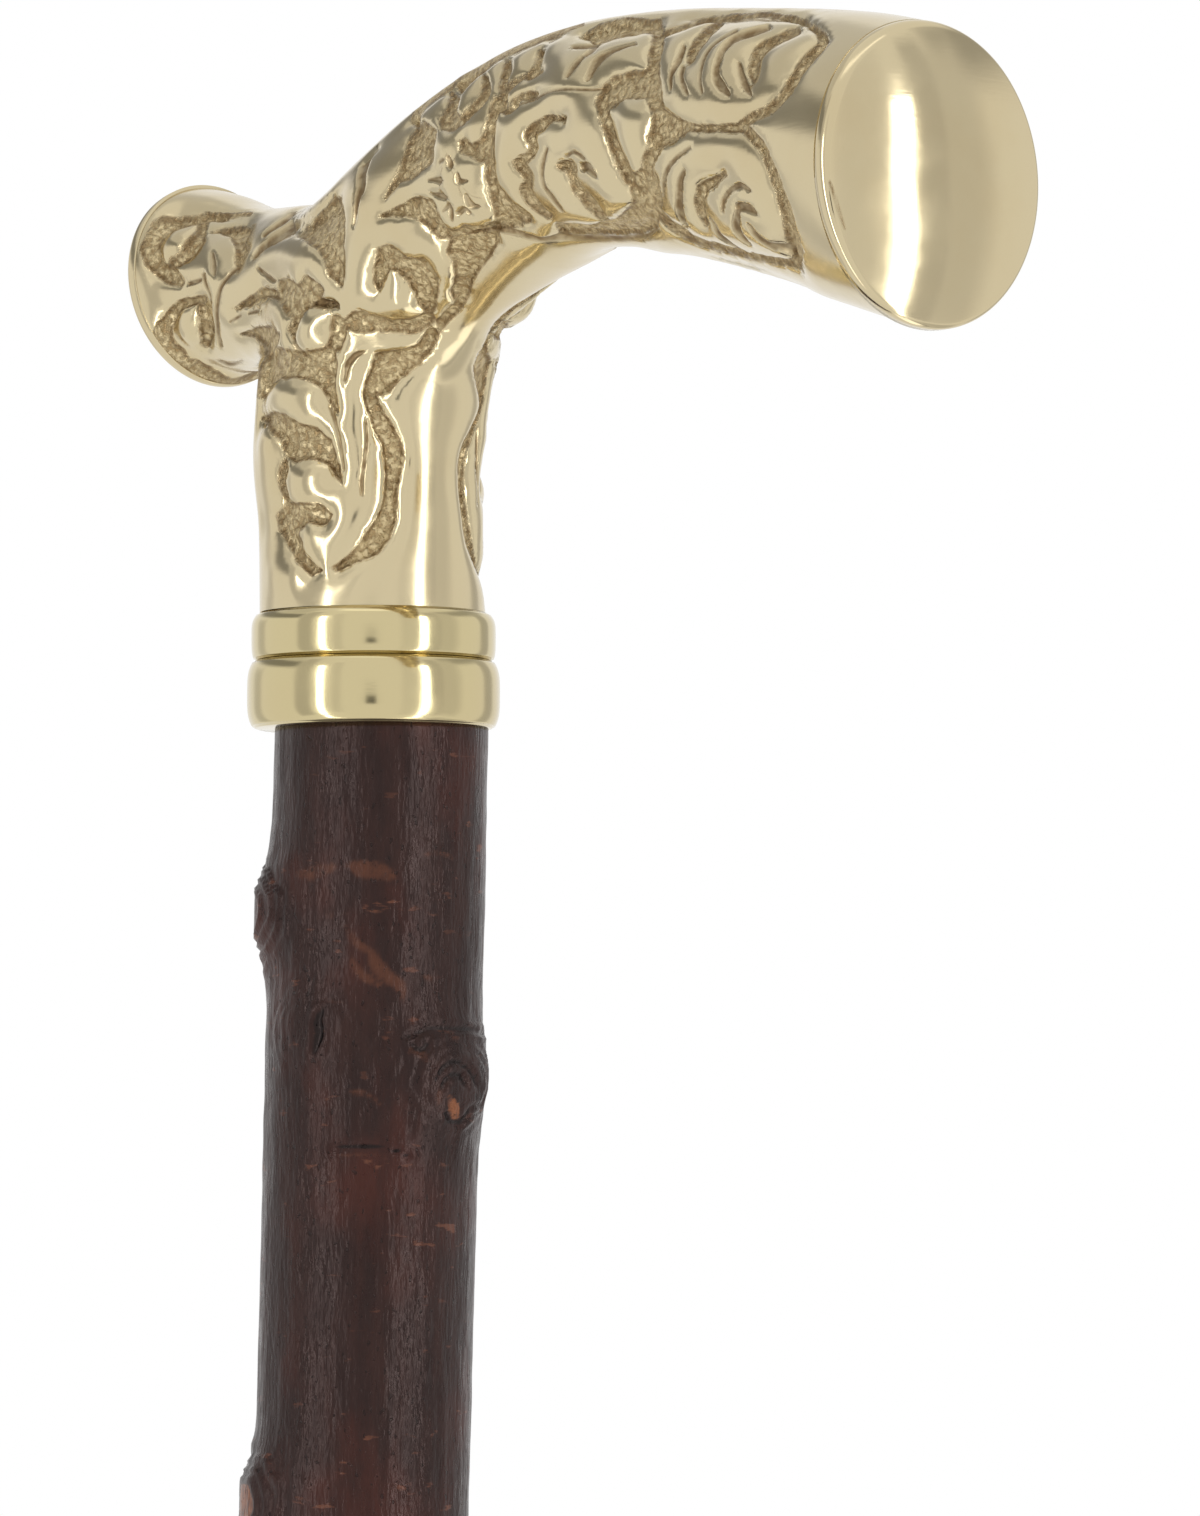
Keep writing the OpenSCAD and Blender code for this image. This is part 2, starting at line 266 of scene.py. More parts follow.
# low to high of the value carried smoothly to toLow to toHigh, and held beyond them
def span(tree, value, low, high, toLow=0.0, toHigh=1.0):
    node = addNode(tree, "ShaderNodeMapRange", interpolation_type="SMOOTHSTEP")
    plug(tree, node.inputs["Value"], value)
    for key, number in (("From Min", low), ("From Max", high), ("To Min", toLow), ("To Max", toHigh)):
        node.inputs[key].default_value = number
    return node.outputs["Result"]


def blendColours(tree, factor, first, second):
    node = addNode(tree, "ShaderNodeMix", data_type="RGBA")
    for socket, value in ((node.inputs[0], factor), (node.inputs[6], first), (node.inputs[7], second)):
        plug(tree, socket, value)
    return node.outputs[2]


def ownPlace(tree):  # object coordinates, in metres
    return addNode(tree, "ShaderNodeTexCoord").outputs["Object"]


def attribute(tree, name):
    return addNode(tree, "ShaderNodeAttribute", attribute_name=name).outputs["Fac"]


def noise(tree, place, scale, detail=3.0, roughness=0.55):
    node = addNode(tree, "ShaderNodeTexNoise", Scale=scale, Detail=detail, Roughness=roughness)
    tree.links.new(place, node.inputs["Vector"])
    return node.outputs["Fac"]


def streaks(tree, place, scales, detail=3.0, roughness=0.55):  # noise with a scale of its own on each axis
    node = addNode(tree, "ShaderNodeMapping", Scale=scales)
    tree.links.new(place, node.inputs["Vector"])
    return noise(tree, node.outputs["Vector"], 1.0, detail, roughness)


def bumped(tree, height, distance, strength=1.0, under=None):  # a normal from a height, on another normal
    node = addNode(tree, "ShaderNodeBump", Strength=strength, Distance=distance)
    tree.links.new(height, node.inputs["Height"])
    if under is not None:
        tree.links.new(under, node.inputs["Normal"])
    return node.outputs["Normal"]


def newGroup(name, inputs, outputs):  # a shader node group with sockets given by name and kind
    group = bpy.data.node_groups.new(name, "ShaderNodeTree")
    for way, sockets in (("INPUT", inputs), ("OUTPUT", outputs)):
        for key, kind in sockets.items():
            group.interface.new_socket(key, in_out=way, socket_type="NodeSocket" + kind)
    return group, group.nodes.new("NodeGroupInput").outputs, group.nodes.new("NodeGroupOutput").inputs


def polishGroup():  # hand-polished brass: cloudy colour, smudged gloss and hair scratches
    inputs = {"Place": "Vector", "Colour": "Color", "Tarnish": "Color", "Gloss": "Float"}
    outputs = {"Colour": "Color", "Roughness": "Float", "Scratch": "Float"}
    group, given, out = newGroup("polishedBrass", inputs, outputs)
    place = given["Place"]
    dull = span(group, noise(group, place, brassLook["cloudScale"], 4.0, 0.6), 0.42, 0.78, 0.0, 0.55)
    group.links.new(blendColours(group, dull, given["Colour"], given["Tarnish"]), out["Colour"])
    smudge = span(group, noise(group, place, brassLook["smudgeScale"]), 0.35, 0.75, 0.0, brassLook["smudge"])
    group.links.new(maths(group, "ADD", given["Gloss"], smudge), out["Roughness"])
    group.links.new(streaks(group, place, brassLook["hairScales"], 2.0), out["Scratch"])
    return group


# lines is the dark colour of the cut lines, also used for the painted shade on channel and cut walls
brassLook = {"colour": (0.62, 0.525, 0.332), "tarnish": (0.58, 0.47, 0.275), "ring": (0.60, 0.51, 0.288),
             "ground": (0.60, 0.49, 0.29), "pits": (0.31, 0.22, 0.108), "lines": (0.20, 0.13, 0.06),
             "gloss": 0.10, "castGloss": 0.15, "smudge": 0.07, "wear": 0.4, "matting": 0.6,
             "cloudScale": 60.0, "smudgeScale": 190.0, "hairScales": (300.0, 300.0, 2600.0),
             "stainScale": 700.0, "gritScale": 2300.0, "grainScale": 1300.0,
             "hairDepth": 0.00002, "grainDepth": 0.00018,
             # gaps in millimetres where a mark starts and where it is full
             "groundEdge": (0.24, -0.06), "grimeEdge": (0.5, 0.0), "lineEdge": (0.18, -0.10),
             # the two gaps that bound the painted shade darkening the channel walls
             "wallShadeOuter": (0.22, 0.06), "wallShadeInner": (-0.32, -0.04)}
polish = polishGroup()


def brassMaterial(name, carved, gloss, tint):  # carved brass also gets matted ground, dark cut lines whose colour runs onto their walls as painted shade, and painted shade along the channel walls
    mat, tree, shader = newMaterial(name)
    links = tree.links
    place = ownPlace(tree)
    group = addNode(tree, "ShaderNodeGroup", node_tree=polish)
    links.new(place, group.inputs["Place"])
    group.inputs["Colour"].default_value = (*tint, 1)
    group.inputs["Tarnish"].default_value = (*brassLook["tarnish"], 1)
    group.inputs["Gloss"].default_value = gloss
    colour, rough = group.outputs["Colour"], group.outputs["Roughness"]
    normal = bumped(tree, group.outputs["Scratch"], brassLook["hairDepth"], 0.25)
    if carved:
        groundGap, lineGap = attribute(tree, "groundGap"), attribute(tree, "lineGap")
        ground = span(tree, groundGap, *brassLook["groundEdge"])
        stain = noise(tree, place, brassLook["stainScale"])
        grit = noise(tree, place, brassLook["gritScale"], 3.0, 0.65)
        # dark cut lines: a dark filling in the cuts that reaches past their edges as painted shade on the
        # walls
        line = span(tree, lineGap, *brassLook["lineEdge"])
        line = times(tree, line, span(tree, stain, 0.3, 0.65, 0.5, 0.95))
        grain = addNode(tree, "ShaderNodeTexVoronoi", Scale=brassLook["grainScale"])
        links.new(place, grain.inputs["Vector"])
        grits = maths(tree, "ADD", times(tree, grain.outputs["Distance"], 0.6), times(tree, grit, 1.1))
        dots = span(tree, grits, 0.6, 1.15)
        pits = times(tree, dots, span(tree, stain, 0.25, 0.6, 0.6, 1.0))
        floor = blendColours(tree, pits, brassLook["ground"], brassLook["pits"])
        grime = span(tree, groundGap, *brassLook["grimeEdge"], 0.0, 0.45)
        grime = times(tree, grime, span(tree, stain, 0.35, 0.65))
        colour = blendColours(tree, grime, colour, brassLook["ground"])
        colour = blendColours(tree, ground, colour, floor)
        # painted shade: the channel walls and the rim of the matted ground darkened towards the cut-line
        # colour, broken up by the stain noise
        foot = [span(tree, groundGap, *brassLook[key]) for key in ("wallShadeOuter", "wallShadeInner")]
        foot = times(tree, times(tree, *foot), span(tree, stain, 0.35, 0.6, 0.25, 0.8))
        colour = blendColours(tree, foot, colour, brassLook["lines"])
        colour = blendColours(tree, line, colour, brassLook["lines"])
        worn = maths(tree, "MAXIMUM", times(tree, ground, brassLook["matting"]), line)
        rough = maths(tree, "ADD", rough, times(tree, worn, brassLook["wear"]))
        bumps = times(tree, maths(tree, "SUBTRACT", 1.0, dots), ground)
        normal = bumped(tree, bumps, brassLook["grainDepth"], 1.0, normal)
    links.new(colour, shader.inputs["Base Color"])
    links.new(rough, shader.inputs["Roughness"])
    links.new(normal, shader.inputs["Normal"])
    shader.inputs["Metallic"].default_value = 1.0
    return mat


carvedBrass = brassMaterial("carvedBrass", True, brassLook["castGloss"], brassLook["colour"])
plateBrass = brassMaterial("plateBrass", True, brassLook["gloss"], brassLook["colour"])
turnedBrass = brassMaterial("turnedBrass", False, brassLook["gloss"], brassLook["ring"])


# Handle: two sweeps of oval sections with a soft fillet between them, then the relief is sunk into the skin

handle = {
    "bar": {"reach": 97.4, "rise": 47.7,
            "heights": (24.3, 26.5, 24.3, 31.2), "widths": (24.3, 25.7, 24.0, 26.8),
            # each section: shares of reach and rise, tilt in degrees, place in the heights and widths
            "shares": [(-0.002, 0.0, 0, 0.0), (-0.003, 0.19, 0, 0.1), (-0.006, 0.39, 6, 0.6),
                       (0.038, 0.681, 38, 1.0), (0.167, 0.86, 60, 1.95), (0.352, 0.977, 77, 2.0),
                       (0.531, 0.98, 90, 2.15), (0.728, 0.924, 96, 2.43), (0.895, 0.8525, 93, 2.8),
                       (1.009, 0.795, 88.5, 3.0)],
            "count": 110},
    "tail": {"reach": 32.3, "rise": 37.9,
             "heights": (23.4, 18.3, 23.1), "widths": (23.0, 19.4, 21.9),
             "shares": [(-0.28, 0.926, -90, 0.7), (-0.6, 0.962, -92, 1.0),
                        (-0.833, 0.995, -96, 1.5), (-1.0, 1.0, -100, 2.0)],
             "root": [(9.0, 4.5), (5.0, 8.5)],  # x and half size of its sections inside the neck
             "count": 60},
    "fillet": 4.5, "sides": 96, "voxel": 0.655, "evenings": 4, "pull": 1.5, "overrun": 3.0, "capBand": 1.9,
    "noseTurn": 2.0,
    "fades": (0.6, 2.5, 3.0), "endReach": 26.0,  # where the relief dies out at the neck, nose and tail
    "finer": [(0.55, 0.42), (0.0, 0.20)],  # edges this near matted ground, or a cut line, are halved
    "crownHalf": 4.5,  # cut lines nearer the middle plane than this are not made finer
    "sharpAt": 70,
}


def sizedRows(sweep):  # x, height above ground, tilt, half height and half width of each section
    out = []
    for x, z, tilt, place in sweep["shares"]:
        half = [np.interp(place, range(len(k)), k) / 2 for k in (sweep["heights"], sweep["widths"])]
        out.append((x * sweep["reach"], levels["neck"] + z * sweep["rise"], tilt, *half))
    return np.array(out)


barRows, tailRows = sizedRows(handle["bar"]), sizedRows(handle["tail"])
tailRoot = [(x, *tailRows[0][1:3], half, half) for x, half in handle["tail"]["root"]]
noSection = 1e3  # distance given where no section plane passes through a point


def pastEnd(row, drop):  # a section moved straight on along its own axis
    a = math.radians(row[2])
    return [row[0] + math.sin(a) * drop, row[1] + math.cos(a) * drop, *row[2:]]


class Sweep:  # a dense run of oval sections: centre + up * half height * cos + y * half width * sin
    def __init__(self, rows, count):
        r = rowsAt(rows, np.linspace(0, len(rows) - 1, count))
        a = np.radians(r[:, 2])
        self.mid, self.half = r[:, :2], r[:, 3:5]
        self.axis = np.stack([np.sin(a), np.cos(a)], 1)
        self.up = np.stack([-np.cos(a), np.sin(a)], 1)

    def grid(self, sides):
        q = np.linspace(0, 2 * np.pi, sides, endpoint=False)
        flat = self.mid[:, None] + self.up[:, None] * (self.half[:, :1] * np.cos(q))[..., None]
        return np.stack([flat[..., 0], self.half[:, 1:] * np.sin(q), flat[..., 1]], -1)

    def place(self, p):  # distance outside the oval of the section through each point, and its gradient
        flat = p[:, [0, 2]]
        ahead = flat @ self.axis.T - (self.mid * self.axis).sum(1)
        behind = ahead <= 0
        i = np.clip(np.argmax(behind, axis=1), 1, len(self.mid) - 1)
        outside = ~behind.any(1) | behind[:, 0]
        n = np.arange(len(p))
        g0, g1 = ahead[n, i - 1], ahead[n, i]
        s = np.clip(g0 / np.where(np.abs(g0 - g1) < 1e-9, 1, g0 - g1), 0, 1)[:, None]
        mid = self.mid[i - 1] * (1 - s) + self.mid[i] * s
        up = self.up[i - 1] * (1 - s) + self.up[i] * s
        half = self.half[i - 1] * (1 - s) + self.half[i] * s
        u, v = ((flat - mid) * up).sum(1), p[:, 1]
        ratio = np.sqrt((u / half[:, 0])**2 + (v / half[:, 1])**2) + 1e-9
        du, dv = u / half[:, 0]**2 / ratio, v / half[:, 1]**2 / ratio
        steep = np.sqrt(du**2 + dv**2) + 1e-9
        away = np.where(outside, noSection, (ratio - 1) / steep)
        grad = np.stack([up[:, 0] * du, dv, up[:, 1] * du], 1) / steep[:, None]
        return away, grad


overrun = handle["overrun"]
barRun = [pastEnd(barRows[0], -overrun), barRows, pastEnd(barRows[-1], overrun)]
tailRun = [pastEnd(tailRoot[0], -1), tailRoot, tailRows, pastEnd(tailRows[-1], overrun)]
barSweep = Sweep(np.vstack(barRun), handle["bar"]["count"])
tailSweep = Sweep(np.vstack(tailRun), handle["tail"]["count"])


def endAxes(row, turn):  # out, up and sideways at an end section, turned about its upright to the near side
    a, w = math.radians(row[2]), math.radians(turn)
    out, side = np.array([math.sin(a), 0, math.cos(a)]), np.array([0.0, 1.0, 0.0])
    up = np.array([-math.cos(a), 0, math.sin(a)])
    return out * math.cos(w) - side * math.sin(w), up, side * math.cos(w) + out * math.sin(w)


def cutEnd(row, turn, fade):  # a place on the cut behind a cap, the way out of it, and the reach of its fade
    out = endAxes(row, turn)[0]
    return np.array([row[0], 0, row[1]]) - out * handle["capBand"], out, fade


neckFade, noseFade, tailFade = handle["fades"]
cutEnds = [(np.array([barRows[0][0], 0, barRows[0][1]]), np.array([0, 0, -1.0]), neckFade),
           cutEnd(barRows[-1], handle["noseTurn"], noseFade), cutEnd(tailRows[-1], 0.0, tailFade)]


def castingField(p):  # distance outside the two sweeps joined by a soft minimum, and the way out of the metal
    d1, g1 = barSweep.place(p)
    d2, g2 = tailSweep.place(p)
    k = handle["fillet"]
    w = np.clip(0.5 + 0.5 * (d2 - d1) / k, 0, 1)
    d = d2 * (1 - w) + d1 * w - k * w * (1 - w)
    g = g2 * (1 - w)[:, None] + g1 * w[:, None]
    return d, g / (np.linalg.norm(g, axis=1)[:, None] + 1e-9)


def pointsOf(mesh):
    p = np.empty(len(mesh.vertices) * 3)
    mesh.vertices.foreach_get("co", p)
    return p.reshape(-1, 3) / mm


def evened(mesh, values, passes):  # values drawn half way to the mean of their neighbours, pass after pass
    edges = np.empty(len(mesh.edges) * 2, int)
    mesh.edges.foreach_get("vertices", edges)
    a, b = edges.reshape(-1, 2).T
    size = len(mesh.vertices)
    count = np.bincount(a, minlength=size) + np.bincount(b, minlength=size)
    columns = values.reshape(size, -1).T.copy()
    for step in range(passes):
        for c in columns:
            total = np.bincount(a, c[b], size) + np.bincount(b, c[a], size)
            c += 0.5 * (total / count - c)
    return columns.T.reshape(values.shape)


def onField(p):  # points drawn onto the joined sweeps in two steps, each no longer than the pull
    pull = handle["pull"]
    for step in range(2):
        d, g = castingField(p)
        p = p - g * np.clip(np.where(np.abs(d) > noSection / 10, 0, d), -pull, pull)[:, None]
    return p


def castingMesh():  # both sweeps as closed tubes, made one by a voxel remesh, evened and drawn onto the field
    both = bmesh.new()
    for sweep in (barSweep, tailSweep):
        part = meshOf("sweep", *closedTube(sweep.grid(handle["sides"])))
        both.from_mesh(part)
        bpy.data.meshes.remove(part)
    bmesh.ops.recalc_face_normals(both, faces=both.faces)
    mesh = bpy.data.meshes.new("sweeps")
    both.to_mesh(mesh)
    both.free()
    obj = bpy.data.objects.new("sweeps", mesh)
    scene.collection.objects.link(obj)
    voxels = obj.modifiers.new("voxels", "REMESH")
    voxels.mode = "VOXEL"
    voxels.voxel_size = handle["voxel"] * mm
    skin = bpy.data.meshes.new_from_object(obj.evaluated_get(bpy.context.evaluated_depsgraph_get()))
    bpy.data.objects.remove(obj)
    bpy.data.meshes.remove(mesh)
    p = onField(pointsOf(skin))
    for step in range(handle["evenings"]):
        p = onField(evened(skin, p, 1))
    skin.vertices.foreach_set("co", (p * mm).ravel())
    for groundReach, lineReach in handle["finer"]:
        halveEdges(skin, groundReach, lineReach)
    work = bmesh.new()
    work.from_mesh(skin)
    for place, out, _ in cutEnds:
        bmesh.ops.bisect_plane(work, geom=list(work.verts) + list(work.edges) + list(work.faces), dist=1e-7,
                               plane_co=Vector(place) * mm, plane_no=Vector(out), clear_outer=True)
        bmesh.ops.holes_fill(work, edges=[e for e in work.edges if e.is_boundary], sides=0)
    work.to_mesh(skin)
    work.free()
    return skin


def halveEdges(skin, groundReach, lineReach):  # edges near matted ground and cut lines are split in two
    p = pointsOf(skin)
    _, ground, line = reliefOn(p, castingField(p)[1], skin)
    near = (np.abs(ground) < groundReach) | ((line < lineReach) & (np.abs(p[:, 1]) > handle["crownHalf"]))
    edges = np.empty(len(skin.edges) * 2, int)
    skin.edges.foreach_get("vertices", edges)
    chosen = np.flatnonzero(near[edges.reshape(-1, 2)].all(1))
    work = bmesh.new()
    work.from_mesh(skin)
    work.edges.ensure_lookup_table()
    bmesh.ops.subdivide_edges(work, edges=[work.edges[i] for i in chosen], cuts=1, use_grid_fill=True)
    work.to_mesh(skin)
    work.free()
    skin.vertices.foreach_set("co", (onField(pointsOf(skin)) * mm).ravel())


# Relief drawn in the picture's units as (x, y, half width); the far side is its mirror image
# channels and patches are sunk and matted, cuts are graver lines, bosses and ridges stand up

relief = {
    # depths and heights in millimetres, reaches and edges in the picture's units
    "groundDepth": 0.45, "shoulder": 2.4, "edgeDepth": 0.12, "edgeReach": 5.0, "domeDepth": 0.95,
    "domeReach": 34.0, "rag": 0.16, "lumps": 0.34, "lobeDepth": 0.24, "lobeReach": 7.0, "bossHeight": 0.55,
    "ridgeHeight": 0.34, "ridgeReach": 4.5, "soften": 10, "plainShare": 0.25, "plainEdge": 6.0,
    "cutDepth": 0.05, "cutPerWidth": 0.1, "cutEdge": (1.6, -1.4), "fullCut": (4, 1.2), "hidden": 3.0,
    "coarse": (0.85, 11), "fine": (1.8, 43), "ragEdge": (1.5, 0.3),
    "facing": (0.0, 0.12), "matFacing": (-0.25, -0.1),  # where carving and matting die out past the outline
    "sink": 0.8,  # the drawing is laid on a skin this far below the plain one
    "channels": [
        # nose leaves
        [(662, 33, 2), (680, 26, 1.5), (700, 20, 1), (730, 17, 1), (768, 15, 1), (800, 20, 1.8),
         (818, 32, 3), (823, 44, 6), (812, 57, 7), (803, 66, 6.5), (795, 78, 6), (785, 95, 6),
         (771, 108, 6), (755, 116, 5), (742, 125, 5)],
        [(742, 127, 4), (715, 128, 3.2), (690, 127, 3.8), (672, 122, 5.5), (660, 115, 5.5)],
        [(657, 36, 5), (652, 60, 5), (652, 85, 5), (655, 105, 5), (660, 118, 6)],
        [(742, 125, 4), (752, 135, 4.5), (763, 148, 5), (772, 168, 5.5), (780, 190, 6), (787, 212, 6.5),
         (792, 235, 8), (796, 250, 8.5), (797, 262, 6)],
        [(800, 267, 3), (775, 263, 2.5), (745, 257, 2.5), (715, 249, 2.5), (690, 240, 3), (668, 226, 3),
         (656, 212, 4)],
        [(718, 22, 3), (700, 37, 4), (691, 50, 4), (688, 60, 2)],
        [(797, 29, 3), (775, 38, 3.5), (760, 46, 4), (752, 58, 3.5), (750, 70, 3), (752, 80, 1.5)],
        [(722, 174, 1.5), (712, 182, 3.5), (702, 188, 4.5), (697, 200, 4), (699, 213, 3), (705, 226, 1.5)],
        # boss behind the nose leaves
        [(605, 92, 6), (600, 105, 5), (605, 125, 4), (612, 145, 4), (620, 165, 5), (628, 180, 5)],
        [(650, 98, 5), (655, 110, 5), (657, 125, 5), (652, 140, 4), (650, 152, 5), (645, 165, 5)],
        # scroll and curl on the bar
        [(495, 100, 4), (490, 120, 4), (488, 135, 4), (485, 150, 5), (488, 165, 4), (490, 180, 4),
         (497, 195, 4), (510, 210, 5), (525, 220, 5)],
        [(563, 119, 1.5), (550, 118, 3), (540, 123, 4), (530, 131, 4), (527, 139, 3), (531, 146, 3),
         (526, 157, 3.5), (517, 163, 5), (523, 172, 4), (526, 182, 3.5), (524, 192, 5), (535, 208, 4),
         (548, 218, 2)],
        [(560, 166, 4), (568, 168, 5), (570, 178, 3), (576, 190, 4.5), (585, 201, 5), (595, 212, 4),
         (605, 222, 1.5)],
        [(541, 52, 1.5), (537, 62, 3), (532, 71, 3.5), (524, 76, 2)],
        [(486, 78, 1.5), (484, 90, 3), (478, 101, 4), (470, 109, 3), (463, 118, 2)],
        [(509, 63, 2), (504, 74, 3), (501, 86, 3), (502, 98, 2.5), (498, 108, 3)],
        [(540, 70, 1), (520, 77, 2), (508, 86, 2), (503, 92, 1)],
        [(534, 92, 1.5), (524, 95, 3), (515, 98, 2), (509, 106, 3), (503, 112, 1.5)],
        # tail
        [(250, 214, 1.5), (230, 216, 2), (215, 216, 3), (200, 217, 3), (185, 220, 4), (170, 224, 5),
         (160, 232, 5), (154, 243, 5), (153, 255, 6), (158, 266, 6.5), (168, 276, 7), (178, 282, 4)],
        [(202, 224, 4), (198, 236, 4), (190, 250, 4), (180, 259, 4), (172, 263, 4)],
        [(202, 299, 3.5), (190, 302, 4), (178, 307, 4.5), (171, 316, 5), (166, 326, 6), (167, 336, 6),
         (174, 346, 5), (186, 357, 4.5), (205, 369, 4), (225, 377, 3), (240, 382, 2)],
        [(200, 310, 4), (205, 322, 5), (206, 334, 6), (205, 343, 5)],
        # neck
        [(433, 335, 5), (425, 347, 6), (410, 356, 8), (395, 364, 11), (380, 372, 9), (372, 384, 7),
         (370, 396, 6.5), (374, 410, 7), (382, 425, 8), (390, 440, 8.5), (394, 457, 9), (393, 472, 7),
         (392, 488, 6), (390, 504, 7), (386, 520, 9), (378, 536, 11), (368, 548, 9), (356, 556, 6),
         (345, 563, 4), (335, 568, 3)],
        [(283, 462, 2.5), (280, 480, 3), (285, 500, 2)],
    ],
    "patches": [
        [(652, 112), (668, 122), (690, 128), (676, 138), (660, 148), (650, 158), (646, 148), (650, 130)],
        [(600, 85), (612, 76), (635, 70), (650, 68), (655, 80), (650, 95), (640, 97), (620, 98), (605, 110),
         (598, 100)],
        [(628, 178), (640, 168), (650, 166), (655, 185), (660, 205), (655, 230), (640, 238), (600, 238),
         (560, 236), (555, 226), (590, 228), (615, 222), (632, 205)],
        [(582, 35), (600, 25), (625, 18), (660, 20), (662, 32), (645, 30), (625, 33), (605, 38), (592, 40)],
        [(383, 198), (391, 184), (398, 168), (403, 152), (408, 140), (415, 128), (425, 122), (434, 130),
         (430, 150), (431, 161), (422, 168), (410, 178), (396, 182)],
        [(380, 216), (396, 207), (410, 200), (418, 198), (430, 202), (436, 210), (441, 222), (446, 229),
         (453, 231), (460, 229), (466, 225), (473, 227), (484, 228), (491, 224), (500, 224), (498, 233),
         (472, 237), (452, 239), (440, 238), (430, 230), (418, 220), (406, 217), (394, 216)],
        [(378, 248), (386, 245), (396, 252), (406, 260), (422, 260), (430, 268), (438, 280), (437, 294),
         (435, 310), (430, 316), (418, 306), (414, 292), (406, 280), (396, 272), (388, 270), (384, 278),
         (380, 288), (377, 291), (373, 284), (373, 272), (375, 260)],
        [(345, 318), (352, 312), (360, 312), (376, 318), (392, 322), (410, 320), (420, 317), (432, 316),
         (436, 320), (430, 328), (415, 334), (395, 333), (376, 332), (360, 334), (345, 330), (334, 338),
         (330, 330), (340, 322)],
        [(450, 240), (470, 237), (496, 236), (498, 244), (490, 256), (480, 270), (472, 284), (468, 298),
         (462, 310), (450, 322), (440, 332), (436, 322), (446, 312), (455, 304), (452, 290), (456, 276),
         (454, 262), (447, 251)],
        [(487, 188), (492, 186), (500, 196), (512, 206), (520, 212), (520, 228), (505, 232), (496, 225),
         (494, 210), (490, 200)],
        [(458, 141), (464, 138), (474, 152), (488, 159), (478, 162), (468, 155), (460, 153)],
        [(478, 140), (468, 145), (475, 155), (487, 160), (490, 145), (490, 120)],
        [(210, 231), (240, 225), (250, 227), (243, 240), (245, 245), (240, 258), (236, 270), (233, 262),
         (235, 248), (230, 235), (218, 231)],
        [(298, 236), (314, 220), (336, 194), (341, 216), (341, 250), (341, 288), (330, 276), (324, 256),
         (314, 246), (302, 238)],
        [(234, 308), (250, 296), (260, 288), (276, 290), (278, 280), (286, 278), (296, 286), (304, 276),
         (318, 284), (322, 290), (318, 298), (334, 304), (330, 310), (316, 308), (306, 306), (300, 312),
         (296, 322), (292, 330), (290, 338), (286, 330), (290, 318), (286, 316), (282, 310), (278, 300),
         (266, 296), (256, 298), (246, 306), (236, 310)],
        [(240, 335), (256, 328), (270, 326), (277, 334), (274, 342), (270, 350), (266, 360), (263, 346),
         (254, 338)],
        [(268, 345), (285, 350), (300, 352), (318, 350), (330, 345), (336, 362), (334, 385), (338, 412),
         (330, 404), (322, 390), (312, 381), (295, 377), (278, 378), (268, 384), (262, 398), (256, 396),
         (258, 375), (265, 360)],
        [(452, 92), (458, 98), (456, 112), (460, 118), (470, 110), (462, 122), (452, 130), (440, 128),
         (438, 118), (446, 108), (449, 100)],
        [(462, 92), (475, 79), (497, 62), (517, 52), (541, 43), (560, 37), (584, 26), (584, 16), (540, 26),
         (500, 40), (470, 60), (455, 84)],
        [(418, 127), (420, 116), (431, 105), (445, 95), (462, 80), (455, 74), (435, 90), (412, 108),
         (412, 122)],
        [(330, 315), (340, 318), (345, 335), (340, 350), (325, 350), (330, 335)],
        [(262, 418), (275, 412), (288, 414), (300, 424), (316, 428), (330, 440), (337, 460), (343, 485),
         (338, 480), (330, 465), (320, 460), (305, 458), (295, 462), (283, 455), (281, 440), (272, 430)],
        [(375, 355), (395, 352), (420, 352), (430, 345), (420, 362), (400, 378), (385, 395), (372, 395),
         (368, 380)],
        [(283, 505), (300, 503), (322, 505), (332, 515), (325, 525), (308, 522), (298, 530), (300, 548),
         (310, 560), (322, 570), (312, 575), (298, 562), (288, 545), (278, 530), (275, 515)],
    ],
    "cuts": [
        # upper nose leaf
        [(683, 45, 1), (678, 60, 1.8), (672, 78, 2.2), (672, 90, 1)],
        [(682, 66, 1), (683, 78, 1.5), (687, 88, 2), (691, 96, 1)],
        [(738, 33, 1), (716, 45, 1.3), (706, 57, 1.4), (703, 70, 1.3), (703, 82, 1.3), (706, 95, 0.8)],
        [(768, 27, 2), (752, 33, 2.5), (735, 41, 3), (725, 52, 2.5), (720, 65, 2.2), (719, 78, 3),
         (724, 88, 4), (731, 96, 1.5)],
        [(739, 63, 1), (741, 75, 2), (746, 88, 2.5), (752, 96, 1)],
        [(764, 46, 1), (758, 58, 1.5), (756, 72, 1)],
        # lower nose leaf
        [(692, 147, 1), (680, 156, 1.8), (670, 168, 2.2), (663, 182, 1.6), (661, 195, 0.8)],
        [(687, 168, 1), (682, 180, 2), (680, 195, 2.2), (680, 210, 3), (684, 225, 2.5)],
        [(725, 209, 1.2), (726, 198, 2), (733, 189, 2.5), (743, 185, 2.8), (752, 190, 1.2)],
        [(743, 205, 4), (752, 207, 3.5), (759, 213, 1)],
        [(742, 207, 2), (739, 220, 3), (742, 232, 3), (750, 243, 1.5)],
        [(710, 220, 1.5), (722, 235, 2.5), (738, 252, 1.5)],
        [(752, 222, 1), (762, 236, 2), (776, 248, 2)],
        [(770, 243, 2), (785, 250, 2.5), (795, 262, 2)],
        # leaf along the top of the bar
        [(575, 49, 1.5), (585, 47, 2.5), (594, 44, 2.5), (592, 52, 2.5), (588, 57, 1.5)],
        [(635, 45, 1.2), (615, 52, 2.5), (602, 60, 3), (595, 68, 2.5), (588, 80, 1.2)],
